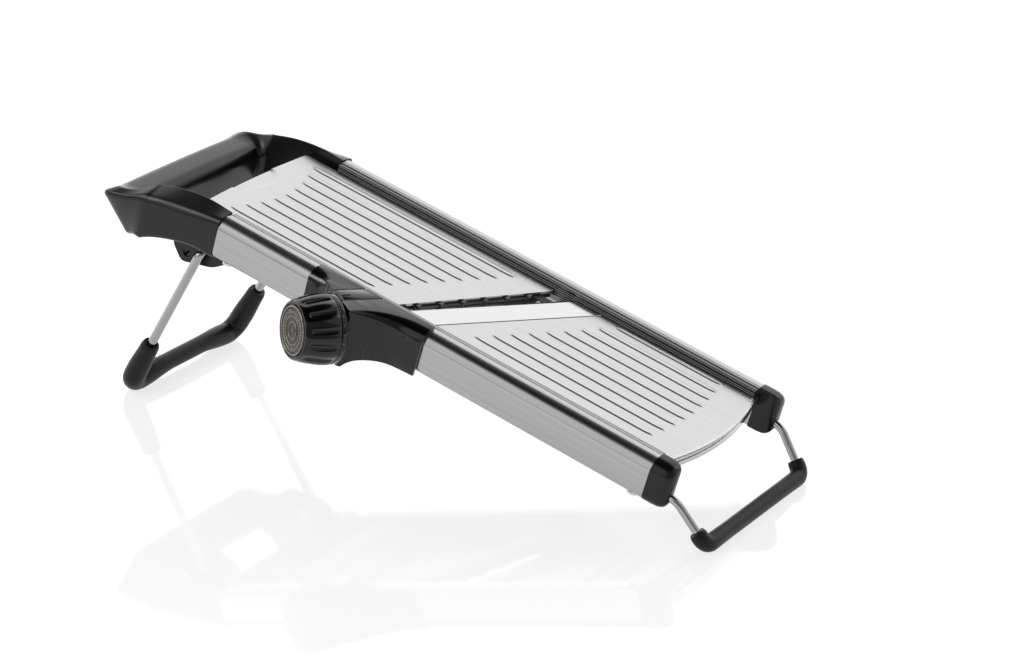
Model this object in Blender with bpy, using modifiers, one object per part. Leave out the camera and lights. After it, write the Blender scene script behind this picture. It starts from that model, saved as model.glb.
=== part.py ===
"""Mandoline slicer: two steel rails on a wire foot and a folding stand, a tilting run plate,
a fixed diagonal blade and a knob that sets the slice thickness.

Everything is laid out in the deck frame: u runs down the deck from the handle (-u) to the
discharge end (+u, the rails end at u = 0), v runs across it (the knob is on the -v side), and
w is the deck's normal, 0 at the rails' top faces. The deck frame is the empty named "deck",
which leans so that +u points down along world +X.
"""
import math

import bmesh
import bpy
from mathutils import Matrix, Vector

MM = 0.001
GAP = 0.3                       # clearance between touching pieces; sizes below are in mm

# Deck and rails
DECK_TILT = math.radians(15.5)
RAIL_LENGTH = 294.2
RAIL_IN = 55.0                  # inner face of a rail, from the centre line
RAIL_OUT = 67.1
RAIL_DEPTH = 25.3
RAIL_WALL = 1.2
GUIDE_IN = 51.6                 # inner face of a guide strip
GUIDE_DEPTH = 12.0

# Plates and blade
PLATE_TOP = -4.6
PLATE_THICK = 1.5
PLATE_HALF = 50.6
RUN_PLATE_END = -319.0
RUN_EDGE_MID = -159.1           # where the run plate's lower edge crosses the centre line
RUN_EDGE_SLOPE = 0.485
RIB_PITCH = 10.27
RIB_SECTION = ((-1.75, -0.4), (-1.6, 0.1), (-0.9, 0.62), (0.0, 0.75), (0.9, 0.62), (1.6, 0.1), (1.75, -0.4))
RIB_TAPER = 4.0                 # length over which a rib's end narrows and sinks into the sheet
COMB_FROM, COMB_TO = -37.5, 34.0
COMB_TEETH = 6
BLADE_EDGE_MID = -151.4
BLADE_SLOPE = 0.55
BLADE_WIDTH_U = 20.6
BLADE_THICK = 1.2
ARC_BULGE = 8.5                 # how far the discharge plate's end bows past the rails

# Thickness adjuster
KNOB_ANGLE = math.radians(30.0)
AXIS_DIR = Vector((math.sin(KNOB_ANGLE), math.cos(KNOB_ANGLE), 0.0))
AXIS_SIDE = Vector((math.cos(KNOB_ANGLE), -math.sin(KNOB_ANGLE), 0.0))
AXIS_W = -17.3
KNOB_FACE = Vector((-211.6, -102.9, AXIS_W))
KNOB_LENGTH = 24.4
KNOB_FRONT_R = 17.2
KNOB_REAR_R = 20.2
KNOB_FLUTES = 12
HOUSING_TOP = 1.5
HOUSING_LOW = -34.5
HOUSING_FACE = 25.6             # its end face, behind the knob's face along the axis
INDEX_DEPTH = 0.7
TUNNEL_R = 5.2                  # the hole that the shaft's bush sits in
SHAFT_R = 2.0
CAM_MIN_R = 3.6
CAM_WIDTH = 5.0
CAM_CLEARANCE = 0.8
NEAR_CAM_V = -44.0
FAR_CAM_V = 38.0
FINGER_WIDTH = 6.0
PLATE_HINGE = Vector((-306.0, 0.0, -8.6))
PLATE_DROP = math.radians(1.8)  # the run plate's tilt over the knob's half turn

# Stand and foot
WIRE_R = 2.7
STAND_PIVOT = Vector((-307.7, 0.0, -32.6))
STAND_LEAN = math.radians(15.7)     # the leg's lean from the deck's normal, towards the handle
STAND_KNEE = 77.5                   # along the leg, where the sleeve starts
STAND_TOP_V = 57.3
STAND_FOOT_V = 51.5
STAND_SLEEVE_R = 5.4
FOOT_WIRE_R = 2.4
FOOT_BAR = (38.2, -37.4)            # the foot's cross bar, in u and w
FOOT_SLEEVE_R = 4.9
FOOT_V = 60.6
FOOT_SWELL = 1.12                   # the sleeve is fatter at its two feet
BAR_ARCH = 3.5                      # how far the cross bar rises between them
SOLE_CUT = 0.6                      # how much is pressed flat where a sleeve meets the ground

# Height of the deck's origin over the ground, with the front sleeve's pressed sole on it
LIFT = (FOOT_SLEEVE_R - SOLE_CUT + FOOT_BAR[0] * math.sin(DECK_TILT)
        - FOOT_BAR[1] * math.cos(DECK_TILT))


# ---------------------------------------------------------------- collections and materials

def new_collection(name):
    collection = bpy.data.collections.new(name)
    bpy.context.scene.collection.children.link(collection)
    return collection


for old in list(bpy.data.objects):
    bpy.data.objects.remove(old, do_unlink=True)
PARTS = new_collection("mandoline_slicer")
CUTTERS = new_collection("cutters")


def material(name, color, metallic, roughness):
    made = bpy.data.materials.new(name)
    made.use_nodes = True
    shader = made.node_tree.nodes["Principled BSDF"]
    shader.inputs["Base Color"].default_value = (*color, 1.0)
    shader.inputs["Metallic"].default_value = metallic
    shader.inputs["Roughness"].default_value = roughness
    return made


BRUSHED_STEEL = material("brushed_steel", (0.78, 0.78, 0.77), 1.0, 0.28)
POLISHED_STEEL = material("polished_steel", (0.86, 0.86, 0.85), 1.0, 0.12)
CHROME = material("chrome", (0.9, 0.9, 0.9), 1.0, 0.06)
SATIN_BLACK = material("satin_black_plastic", (0.02, 0.02, 0.022), 0.0, 0.42)
GLOSS_BLACK = material("gloss_black_plastic", (0.01, 0.01, 0.011), 0.0, 0.15)
RUBBER = material("black_rubber", (0.018, 0.018, 0.02), 0.0, 0.7)
KNOB_METAL = material("knob_metal", (0.22, 0.2, 0.18), 1.0, 0.35)


# ---------------------------------------------------------------- placing things

def empty(name, parent=None, matrix=Matrix()):
    made = bpy.data.objects.new(name, None)
    made.empty_display_size = 20 * MM
    PARTS.objects.link(made)
    made.parent = parent
    made.matrix_basis = matrix
    return made


def at(u, v, w):
    return Vector((u, v, w)) * MM


DECK = empty("deck", None, Matrix.Translation((0, 0, LIFT * MM)) @ Matrix.Rotation(DECK_TILT, 4, "Y"))
STAND_HINGE = empty("rear_stand_hinge", DECK, Matrix.Translation(STAND_PIVOT * MM))
KNOB_AXIS = empty("knob_axis", DECK, Matrix.Translation(KNOB_FACE * MM))
PLATE_PIVOT = empty("run_plate_hinge", DECK, Matrix.Translation(PLATE_HINGE * MM))


def place(obj, look, parent=DECK):
    """Hang a piece whose coordinates are in the deck frame on the deck or on a joint's empty."""
    obj.parent = parent
    if parent is not DECK:
        obj.matrix_parent_inverse = parent.matrix_basis.inverted()
    obj.data.materials.clear()
    obj.data.materials.append(look)
    return obj


# ---------------------------------------------------------------- outlines and paths

def rounded(corners, steps=4):
    """Round each corner (x, y, trim) of an outline by a circular arc that starts trim before it."""
    points = []
    count = len(corners)
    for i, (x, y, trim) in enumerate(corners):
        here = Vector((x, y))
        if trim == 0:
            points.append(here)
            continue
        before = (Vector(corners[i - 1][:2]) - here).normalized() * trim
        after = (Vector(corners[(i + 1) % count][:2]) - here).normalized() * trim
        weight = math.sin(before.angle(after) / 2)
        for step in range(steps + 1):
            t = step / steps
            a, b, c = (1 - t) ** 2, 2 * t * (1 - t) * weight, t ** 2
            points.append((a * (here + before) + b * here + c * (here + after)) / (a + b + c))
    return points


def rounded_path(corners, steps=5):
    """The same for an open 3-D path of (point, trim); its two ends stay where they are."""
    points = [corners[0][0]]
    for (last, _), (here, trim), (coming, _) in zip(corners, corners[1:], corners[2:]):
        before = (last - here).normalized() * trim
        after = (coming - here).normalized() * trim
        weight = math.sin(before.angle(after) / 2)
        for step in range(steps + 1):
            t = step / steps
            a, b, c = (1 - t) ** 2, 2 * t * (1 - t) * weight, t ** 2
            points.append((a * (here + before) + b * here + c * (here + after)) / (a + b + c))
    return points + [corners[-1][0]]


def curve_to_mesh(curve, collection=PARTS):
    """Turn a curve object into a mesh object with its caps welded on, and remove the curve."""
    bpy.context.view_layer.update()
    evaluated = curve.evaluated_get(bpy.context.evaluated_depsgraph_get())
    mesh = bpy.data.meshes.new_from_object(evaluated)
    work = bmesh.new()
    work.from_mesh(mesh)
    bmesh.ops.remove_doubles(work, verts=work.verts, dist=0.00001)
    work.transform(curve.matrix_world)
    bmesh.ops.recalc_face_normals(work, faces=work.faces)
    work.to_mesh(mesh)
    work.free()
    name = curve.name
    bpy.data.objects.remove(curve, do_unlink=True)
    made = bpy.data.objects.new(name, mesh)
    collection.objects.link(made)
    return made


ALONG_U = Matrix(((0, 0, 1, 0), (1, 0, 0, 0), (0, 1, 0, 0), (0, 0, 0, 1)))     # outline in (v, w)
ALONG_W = Matrix()                                                            # outline in (u, v)
ALONG_V = Matrix(((1, 0, 0, 0), (0, 0, -1, 0), (0, 1, 0, 0), (0, 0, 0, 1)))    # outline in (u, w)


def extrude(name, outlines, plane, low, high, collection=PARTS):
    """A flat outline, with holes if it has several loops, given depth from low to high."""
    data = bpy.data.curves.new(name, "CURVE")
    data.dimensions = "2D"
    data.fill_mode = "BOTH"
    data.extrude = (high - low) / 2 * MM
    for loop in outlines:
        spline = data.splines.new("POLY")
        spline.points.add(len(loop) - 1)
        for point, spot in zip(spline.points, loop):
            point.co = (spot[0] * MM, spot[1] * MM, 0, 1)
        spline.use_cyclic_u = True
    curve = bpy.data.objects.new(name, data)
    collection.objects.link(curve)
    curve.matrix_world = plane @ Matrix.Translation((0, 0, (low + high) / 2 * MM))
    return curve_to_mesh(curve, collection)


def tube(name, path, radius, collection=PARTS, radii=None, resolution=2):
    """A wire or sleeve of round section along a path, with closed ends."""
    data = bpy.data.curves.new(name, "CURVE")
    data.dimensions = "3D"
    data.bevel_depth = radius * MM
    data.bevel_resolution = resolution
    data.use_fill_caps = True
    spline = data.splines.new("POLY")
    spline.points.add(len(path) - 1)
    for i, (point, spot) in enumerate(zip(spline.points, path)):
        point.co = (*(spot * MM), 1)
        point.radius = radii[i] if radii else 1.0
    curve = bpy.data.objects.new(name, data)
    collection.objects.link(curve)
    made = curve_to_mesh(curve, collection)
    smooth(made)
    return made


def primitive(name, matrix, collection, kind, **sizes):
    work = bmesh.new()
    if kind == "box":
        bmesh.ops.create_cube(work, size=1.0)
        bmesh.ops.scale(work, vec=sizes["size"], verts=work.verts)
    else:
        bmesh.ops.create_cone(work, cap_ends=True, segments=sizes["segments"], radius1=sizes["radius"],
                              radius2=sizes.get("radius2", sizes["radius"]), depth=sizes["depth"])
    mesh = bpy.data.meshes.new(name)
    work.transform(matrix)
    work.to_mesh(mesh)
    work.free()
    made = bpy.data.objects.new(name, mesh)
    collection.objects.link(made)
    return made


def box(name, low, high, collection=PARTS):
    centre = (Vector(low) + Vector(high)) / 2 * MM
    size = (Vector(high) - Vector(low)) * MM
    return primitive(name, Matrix.Translation(centre), collection, "box", size=size)


def rod(name, start, end, radius, collection=PARTS, segments=24):
    """A round bar between two points."""
    start, end = Vector(start), Vector(end)
    turn = (end - start).to_track_quat("Z", "Y").to_matrix().to_4x4()
    made = primitive(name, Matrix.Translation((start + end) / 2 * MM) @ turn, collection, "rod",
                     segments=segments, radius=radius * MM, depth=(end - start).length * MM)
    smooth(made)
    return made


def turned(name, profile, start, steps, collection=PARTS):
    """A turned piece: the profile's (radius, depth along the knob axis) swept about that axis."""
    mesh = bpy.data.meshes.new(name)
    work = bmesh.new()
    verts = [work.verts.new((r * MM, 0, -depth * MM)) for r, depth in profile]
    for one, other in zip(verts, verts[1:]):
        work.edges.new((one, other))
    work.to_mesh(mesh)
    work.free()
    made = bpy.data.objects.new(name, mesh)
    collection.objects.link(made)
    screw = made.modifiers.new("turn", "SCREW")
    screw.steps = steps
    screw.render_steps = steps
    screw.use_merge_vertices = True
    screw.merge_threshold = 0.00001
    flip = Matrix((tuple(AXIS_SIDE), (0, 0, -1), tuple(-AXIS_DIR))).transposed().to_4x4()
    made.matrix_basis = Matrix.Translation(Vector(start) * MM) @ flip
    return made


# ---------------------------------------------------------------- working the pieces

def smooth(obj, angle=40):
    obj.data.shade_smooth()
    obj.data.set_sharp_from_angle(angle=math.radians(angle))


def bevel(obj, width, segments=2, angle=35):
    made = obj.modifiers.new("edges", "BEVEL")
    made.width = width * MM
    made.segments = segments
    made.angle_limit = math.radians(angle)
    return obj


def boolean(obj, other, operation):
    made = obj.modifiers.new(other.name, "BOOLEAN")
    made.operation = operation
    made.object = other
    made.solver = "EXACT"
    other.hide_render = True
    other.display_type = "WIRE"
    if other.parent is None and other.name != "ground":
        other.parent = DECK


def cut(obj, *others):
    for other in others:
        boolean(obj, other, "DIFFERENCE")
    return obj


def join(obj, *others):
    for other in others:
        boolean(obj, other, "UNION")
    return obj


def mirrored(name, build):
    """Build the near piece at -v and the far one at +v."""
    for side, word in ((-1, "near"), (1, "far")):
        build(name.format(word), side)


def sided(low, high, side):
    """The span low..high of a distance from the centre line, on one side of it."""
    return (low, high) if side > 0 else (-high, -low)


def axis_point(distance, w=AXIS_W):
    """A point on the adjuster's axis, at a distance behind the knob's face."""
    spot = KNOB_FACE + AXIS_DIR * distance
    return Vector((spot.x, spot.y, w))


def axis_at(v):
    return axis_point((v - KNOB_FACE.y) / AXIS_DIR.y)


# ---------------------------------------------------------------- rails, guides and ties

def rail_outline(inset=0.0, top_round=8.0, bottom_round=4.0):
    low, high = RAIL_IN + inset, RAIL_OUT - inset
    return [(low, -inset, 0.6), (high, -inset, top_round - inset),
            (high, inset - RAIL_DEPTH, bottom_round - inset), (low, inset - RAIL_DEPTH, 0.8)]


def side_loop(corners, side, steps=4):
    return [(x * side, y) for x, y in rounded(corners, steps)]


def shaft_tunnel():
    return rod("shaft_tunnel", axis_point(20), axis_at(-40), TUNNEL_R, CUTTERS)


TUNNEL = shaft_tunnel()


def make_rail(name, side):
    loops = [side_loop(rail_outline(), side), side_loop(rail_outline(RAIL_WALL), side)]
    rail = extrude(name, loops, ALONG_U, -RAIL_LENGTH, 0)
    for u in (HANDLE_SCREW_U, CAP_SCREW_U):
        cut(rail, rod(f"{name}_hole", (u, side * SCREW_V, -30), (u, side * SCREW_V, -22), 2.1, CUTTERS, 16))
    if side < 0:
        cut(rail, TUNNEL)
    smooth(rail)
    place(rail, BRUSHED_STEEL)


def make_guide(name, side):
    """A strip along the rail's inner face with fine ribs, which steadies the food pusher."""
    face, ribs = GUIDE_IN, 4
    corners = [(RAIL_IN - GAP, -0.8), (RAIL_IN - GAP, -GUIDE_DEPTH), (face, -GUIDE_DEPTH)]
    pitch = (GUIDE_DEPTH - 2.4) / ribs
    for i in range(ribs):
        low = -GUIDE_DEPTH + 0.6 + i * pitch
        corners += [(face, low), (face + 0.5, low + 0.5),
                    (face + 0.5, low + pitch - 0.6), (face, low + pitch - 0.1)]
    corners.append((face, -1.2))
    corners.append((face + 0.4, -0.8))
    guide = extrude(name, [[(x * side, y) for x, y in corners]], ALONG_U, -RAIL_LENGTH, -GAP)
    place(guide, SATIN_BLACK)


def make_ties():
    reach = RAIL_IN - GAP
    for name, u, low, high in (("upper_tie", -250, -23.5, -19), ("lower_tie", -62, -12, -6.4),
                               ("front_tie", -14, -12.5, -6.4)):
        low_v = GUIDE_IN - GAP if high > -GUIDE_DEPTH else reach
        tie = box(name, (u - 7, -low_v, low), (u + 7, low_v, high))
        cut(tie, box(f"{name}_channel", (u - 5, -70, low - 1), (u + 5, 70, high - 1.6), CUTTERS))
        place(tie, BRUSHED_STEEL)


# ---------------------------------------------------------------- handle

SCREW_V = 61.0
HANDLE_SCREW_U = -286.0
CAP_SCREW_U = -8.0
HANDLE_END = -RAIL_LENGTH - GAP
HANDLE_TOP = [(-294.5, 1.2), (-311, 1.8), (-329, -0.8), (-345, -5.8)]
HANDLE_SHOULDER = [(-294.5, -0.6), (-321, -6.6), (-342, -10.4), (-360, -16.4), (-377, -25.0)]
HANDLE_BOTTOM = [(-294.5, -25.8), (-309.5, -26.2), (-323, -29.2), (-340, -35.8), (-352, -43.6), (-358, -48)]
CORNER = Vector((-345.0, 50.0))     # the upright axis that the arm turns about into the grip
GRIP_IN = 5.0
ARM_OUT = 17.1
TIP_OUT = 32.6


def lookup(table, u):
    """A smooth reading between the (u, w) pairs of a table that runs towards -u."""
    if u >= table[0][0]:
        return table[0][1]
    for (u0, w0), (u1, w1) in zip(table, table[1:]):
        if u >= u1:
            return w0 + (w1 - w0) * (u - u0) / (u1 - u0)
    return table[-1][1]


def blend(one, other, t):
    return [tuple(a + (b - a) * t for a, b in zip(p, q)) for p, q in zip(one, other)]


def arm_section(u):
    """Corners (distance from the corner's axis, w, trim) of the arm's section at u."""
    top, shoulder, bottom = (lookup(t, u) for t in (HANDLE_TOP, HANDLE_SHOULDER, HANDLE_BOTTOM))
    return [(GRIP_IN, top, 0.8), (ARM_OUT, shoulder, 4.0), (ARM_OUT, bottom, 2.5),
            (GRIP_IN, bottom, 2.0), (GRIP_IN, (top + bottom) / 2 - 1, 2.0)]


GRIP_SECTION = [(26.0, -19.3, 3.0), (TIP_OUT, -25.8, 2.2), (12.8, -48.2, 2.2),
                (4.2, -41.5, 2.5), (5.0, -17.2, 8.5)]


def handle_half():
    """Rings from the rail's end along the arm, round the corner and to the middle of the grip."""
    rings = []
    for u in (HANDLE_END, -303, -311, -320, -329, -337):
        rings.append([(u, CORNER.y + rho, w) for rho, w in rounded(arm_section(u), 3)])
    turns = 6
    for i in range(turns + 1):
        phi = math.pi / 2 * i / turns
        t = i / turns
        ease = t * t * (3 - 2 * t)
        section = blend(arm_section(CORNER.x), GRIP_SECTION, ease)
        outer = 1 / ((math.cos(phi) / ARM_OUT) ** 7 + (math.sin(phi) / TIP_OUT) ** 7) ** (1 / 7)
        stretch = (outer - GRIP_IN) / (max(c[0] for c in section) - GRIP_IN)
        ring = []
        for rho, w in rounded(section, 3):
            if rho > GRIP_IN:
                rho = GRIP_IN + (rho - GRIP_IN) * stretch
            ring.append((CORNER.x - rho * math.sin(phi), CORNER.y + rho * math.cos(phi), w))
        rings.append(ring)
    last = rings[-1]
    rings.append([(u, 24.0, w) for u, _, w in last])
    rings.append([(u - 0.6, 0.0, w) for u, _, w in last])
    return rings


def loft(name, rings, close_start, collection=PARTS):
    """Skin closed rings of equal count."""
    mesh = bpy.data.meshes.new(name)
    work = bmesh.new()
    layers = [[work.verts.new(at(*p)) for p in ring] for ring in rings]
    for one, other in zip(layers, layers[1:]):
        for i in range(len(one)):
            j = (i + 1) % len(one)
            work.faces.new((one[i], one[j], other[j], other[i]))
    if close_start:
        work.faces.new(layers[0])
    bmesh.ops.recalc_face_normals(work, faces=work.faces)
    work.to_mesh(mesh)
    work.free()
    made = bpy.data.objects.new(name, mesh)
    collection.objects.link(made)
    return made


def make_handle():
    handle = loft("handle", handle_half(), True)
    both = handle.modifiers.new("both_arms", "MIRROR")
    both.use_axis = (False, True, False)
    both.merge_threshold = 0.0001
    floor = box("handle_floor", (-322, -RAIL_IN - 3, -14.5), (-284, RAIL_IN + 3, -11.5), CUTTERS)
    cut(floor, box("floor_trim", (HANDLE_END, -RAIL_OUT - 5, -30), (-270, -GUIDE_IN + GAP, 0), CUTTERS),
        box("floor_trim_far", (HANDLE_END, GUIDE_IN - GAP, -30), (-270, RAIL_OUT + 5, 0), CUTTERS))
    join(handle, floor)
    for side in (-1, 1):
        inside = side_loop(rail_outline(RAIL_WALL + GAP), side)
        tenon = extrude("handle_tenon", [inside], ALONG_U, HANDLE_END - 4, -278, CUTTERS)
        join(handle, tenon)
        cut(handle, rod("tenon_hole", (HANDLE_SCREW_U, side * SCREW_V, -26),
                        (HANDLE_SCREW_U, side * SCREW_V, -14), 1.8, CUTTERS, 16))
        cut(handle, rod("rod_seat", (PLATE_HINGE.x, side * 53, PLATE_HINGE.z),
                        (PLATE_HINGE.x, side * 60, PLATE_HINGE.z), 1.9, CUTTERS, 16))
        cut(handle, rod("lug_hole", (LUG_SCREW_U, side * LUG_MID, -16),
                        (LUG_SCREW_U, side * LUG_MID, -10), 1.8, CUTTERS, 16))
    smooth(handle, 50)
    place(handle, SATIN_BLACK)


def make_screw(name, head, tip, head_r, shank_r, head_h, parent=DECK):
    """A pan-head screw, with its head's outer face at head and its point at tip."""
    head, tip = Vector(head), Vector(tip)
    along = (tip - head).normalized()
    screw = rod(name, head, head + along * head_h, head_r, segments=20)
    shank = rod(f"{name}_shank", head + along * (head_h - 0.4), tip, shank_r, CUTTERS, 16)
    slot = axis_box(f"{name}_slot", head, along, head_r * 3, 0.7, 0.8)
    join(screw, shank)
    cut(screw, slot)
    place(screw, CHROME, parent)


def axis_box(name, centre, along, length, width, depth):
    """A box across a screw's head: its driving slot."""
    turn = along.to_track_quat("Z", "Y").to_matrix().to_4x4()
    matrix = Matrix.Translation(centre * MM) @ turn
    return primitive(name, matrix, CUTTERS, "box", size=Vector((length, width, depth * 2)) * MM)


# ---------------------------------------------------------------- end caps and front foot

CAP_LENGTH = 14.2
WIRE_W = -18.6


def make_cap(name, side):
    cap = extrude(name, [side_loop([(x, y, max(t, 1.0)) for x, y, t in rail_outline(-0.5)], side, 3)],
                  ALONG_U, GAP, CAP_LENGTH)
    bevel(cap, 3.4, 2, 60)
    plug = extrude(f"{name}_plug", [side_loop(rail_outline(RAIL_WALL + GAP), side)], ALONG_U, -14, 3, CUTTERS)
    join(cap, plug)
    cut(cap, rod(f"{name}_bore", (-8, side * FOOT_V, WIRE_W), (20, side * FOOT_V, WIRE_W),
                 FOOT_WIRE_R + GAP, CUTTERS, 16),
        rod(f"{name}_hole", (CAP_SCREW_U, side * SCREW_V, -26), (CAP_SCREW_U, side * SCREW_V, -14),
            1.8, CUTTERS, 16))
    smooth(cap)
    place(cap, SATIN_BLACK)


def foot_path():
    """The foot's wire: out of one cap, down to the cross bar and back up into the other cap."""
    half = [(Vector((-6.0, 1, WIRE_W)), 0), (Vector((17.5, 1, WIRE_W)), 5),
            (Vector((FOOT_BAR[0], 0.965, FOOT_BAR[1])), 5.5)]
    near = [(Vector((p.x, -FOOT_V * p.y, p.z)), t) for p, t in half]
    far = [(Vector((p.x, FOOT_V * p.y, p.z)), t) for p, t in reversed(half)]
    return rounded_path(near + far, 5)


def sleeve_span(path, keep):
    """The part of a path past a test, for a sleeve that covers only the ground end."""
    return [p for p in path if keep(p)]


GROUND = box("ground", (-900, -400, -60), (900, 400, 0), CUTTERS)


def make_foot():
    path = foot_path()
    wire = tube("front_foot_wire", path, FOOT_WIRE_R)
    place(wire, CHROME)
    covered = sleeve_span(path, lambda p: p.z < WIRE_W - 12)
    start = covered[0] + (path[path.index(covered[0]) - 1] - covered[0]).normalized() * 3.5
    end = Vector((start.x, -start.y, start.z))
    route = [start] + covered + [end]
    sleeve = tube("front_foot_sleeve", route, FOOT_SLEEVE_R)
    cut(sleeve, tube("foot_bore", path, FOOT_WIRE_R + GAP, CUTTERS), GROUND)
    place(sleeve, RUBBER)


# ---------------------------------------------------------------- rear stand

def stand_point(along, v, out=0.0):
    """A point of the stand: a distance down the leg, a distance across the deck, and out behind it."""
    down = Vector((-math.sin(STAND_LEAN), 0, -math.cos(STAND_LEAN)))
    back = Vector((-math.cos(STAND_LEAN), 0, math.sin(STAND_LEAN)))
    return STAND_PIVOT + down * along + back * out + Vector((0, v, 0))


def stand_path(leg):
    """The stand's wire: a pivot pin, a leg, the arched cross bar, and the same on the far side."""
    half = [(stand_point(0, 1), 0, STAND_TOP_V - 13.5), (stand_point(0, 1), 4.5, STAND_TOP_V),
            (stand_point(leg, 1), 9.0, STAND_FOOT_V)]
    near = [(Vector((p.x, -v, p.z)), t) for p, t, v in half]
    far = [(Vector((p.x, v, p.z)), t) for p, t, v in reversed(half)]
    rise = stand_point(leg - BAR_ARCH, 0)
    middle = [(Vector((rise.x, v, rise.z)), 7) for v in (-20.0, 20.0)]
    return rounded_path(near + middle + far, 4)


def leg_length():
    """How long the leg is for its foot to stand on the same ground as the front foot."""
    leg = 110.0
    for _ in range(3):
        lowest = min(p.z * math.cos(DECK_TILT) - p.x * math.sin(DECK_TILT) + LIFT for p in stand_path(leg))
        leg += (lowest - STAND_SLEEVE_R * FOOT_SWELL + SOLE_CUT) / math.cos(DECK_TILT + STAND_LEAN)
    return leg


LEG = leg_length()


def make_stand():
    path = stand_path(LEG)
    wire = tube("rear_stand_wire", path, WIRE_R)
    place(wire, CHROME, STAND_HINGE)
    limit = stand_point(STAND_KNEE + 6, 0).z
    covered = sleeve_span(path, lambda p: p.z < limit)
    start = stand_point(STAND_KNEE, 0)
    knee_v = STAND_TOP_V + (STAND_FOOT_V - STAND_TOP_V) * STAND_KNEE / LEG
    route = [Vector((start.x, -knee_v, start.z))] + covered + [Vector((start.x, knee_v, start.z))]
    radii = [0.95 if abs(p.y) < 30 else FOOT_SWELL for p in route]
    radii[0] = radii[-1] = 1.0
    sleeve = tube("rear_stand_sleeve", route, STAND_SLEEVE_R, radii=radii)
    cut(sleeve, tube("stand_bore", path, WIRE_R + GAP, CUTTERS), GROUND)
    place(sleeve, RUBBER, STAND_HINGE)


LUG_IN, LUG_OUT = 46.0, 52.0
LUG_MID = (LUG_IN + LUG_OUT) / 2
LUG_SCREW_U = -297.5


def make_lug(name, side):
    """The bracket under the handle that the stand's wire turns in."""
    outline = rounded([(-321.5, -14.8, 1), (-331, -38, 2.5), (-322.5, -47.2, 3), (-314, -44.5, 3),
                       (-301, -41, 4), (-291, -33, 4), (-291, -14.8, 1)], 3)
    low, high = sided(LUG_IN, LUG_OUT, -side)
    lug = extrude(name, [outline], ALONG_V, low, high)
    reach = (side * (LUG_IN - 4), side * (LUG_OUT + 4))
    for hole, u, w, r in (("pivot", STAND_PIVOT.x, STAND_PIVOT.z, WIRE_R + GAP), ("rest", -320, -40.3, 2.6)):
        cut(lug, rod(f"{name}_{hole}", (u, reach[0], w), (u, reach[1], w), r, CUTTERS, 16))
    cut(lug, rod(f"{name}_screw", (LUG_SCREW_U, side * LUG_MID, -22), (LUG_SCREW_U, side * LUG_MID, -10),
                 1.8, CUTTERS, 16),
        rod(f"{name}_head", (LUG_SCREW_U, side * LUG_MID, -45), (LUG_SCREW_U, side * LUG_MID, -20.5),
            2.7, CUTTERS, 20))
    smooth(lug)
    place(lug, SATIN_BLACK)


# ---------------------------------------------------------------- plates and blade

def run_edge(v):
    return RUN_EDGE_MID + RUN_EDGE_SLOPE * v


def blade_edge(v, back=0.0):
    return BLADE_EDGE_MID + BLADE_SLOPE * v + back


def rib(name, u_start, u_end, v):
    """A low ridge on the sheet whose two ends taper out."""
    rings = []
    for u, size in ((u_start, 0.15), (u_start + RIB_TAPER / 3, 0.7), (u_start + RIB_TAPER, 1.0),
                    (u_end - RIB_TAPER, 1.0), (u_end - RIB_TAPER / 3, 0.7), (u_end, 0.15)):
        rings.append([(u, v + x * size, PLATE_TOP + min(y, y * size)) for x, y in RIB_SECTION])
    ridge = loft(name, rings, True, CUTTERS)
    close_end(ridge)
    return ridge


def make_run_plate():
    half = PLATE_HALF
    corners = [(RUN_PLATE_END + 2.4, -half, 3), (run_edge(-half), -half, 2), (run_edge(half), half, 4),
               (RUN_PLATE_END + 2.4, half, 3), (RUN_PLATE_END, 0, 30)]
    plate = extrude("run_plate", [rounded(corners, 4)], ALONG_W, PLATE_TOP - PLATE_THICK, PLATE_TOP)
    for i in range(9):
        v = (i - 4) * RIB_PITCH
        join(plate, rib("run_rib", rib_start(v), -179.2 + 0.52 * v, v))
    cut(plate, thumb_groove())
    place(plate, POLISHED_STEEL, PLATE_PIVOT)


def rib_start(v):
    """The ribs start clear of the thumb recess in the middle of the plate's top end."""
    return -305.0 + 9.5 * math.cos(math.radians(90) * min(1.0, abs(v) / 40.0))


def thumb_groove():
    """A shallow crescent pressed into the plate's top end."""
    path = [Vector((-318.0 + 9.5 * math.sin(math.pi * i / 12), -22.0 + 38.0 * i / 12, PLATE_TOP + 0.25))
            for i in range(13)]
    return tube("thumb_groove", path, 0.6, CUTTERS)


def make_carrier():
    """The bar under the run plate's lower edge, with a finger for each lift cam and a short skirt."""
    half = PLATE_HALF - 0.6
    top = PLATE_TOP - PLATE_THICK - GAP
    corners = [(run_edge(-half) - 14, -half, 1), (run_edge(-half) - 2, -half, 1),
               (run_edge(half) - 2, half, 1), (run_edge(half) - 14, half, 1)]
    carrier = extrude("run_plate_carrier", [rounded(corners, 2)], ALONG_W, top - 3.6, top)
    for cam_v, lift in ((NEAR_CAM_V, cam_lift(NEAR_CAM_V)), (FAR_CAM_V, cam_lift(FAR_CAM_V))):
        bottom = AXIS_W + CAM_MIN_R + lift + CAM_CLEARANCE
        low, high = cam_v - FINGER_WIDTH / 2, cam_v + FINGER_WIDTH / 2
        reach = axis_at(cam_v).x + 3.0
        join(carrier, box("finger", (run_edge(cam_v) - 12, low, bottom), (reach, high, top - 0.2), CUTTERS))
    edge = run_edge(42) - 2
    join(carrier, box("skirt", (edge - 6, COMB_TO + 1, -12.5), (edge, half, top - 2), CUTTERS))
    place(carrier, SATIN_BLACK, PLATE_PIVOT)


def make_hinge_block(name, side):
    u, w = PLATE_HINGE.x, PLATE_HINGE.z
    low, high = sided(36, 44, side)
    block = box(name, (u - 5, low, w - 2.6), (u + 5, high, PLATE_TOP - PLATE_THICK - GAP))
    cut(block, rod(f"{name}_bore", (u, low - 2, w), (u, high + 2, w), 1.5 + GAP, CUTTERS, 16))
    place(block, SATIN_BLACK, PLATE_PIVOT)


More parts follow.
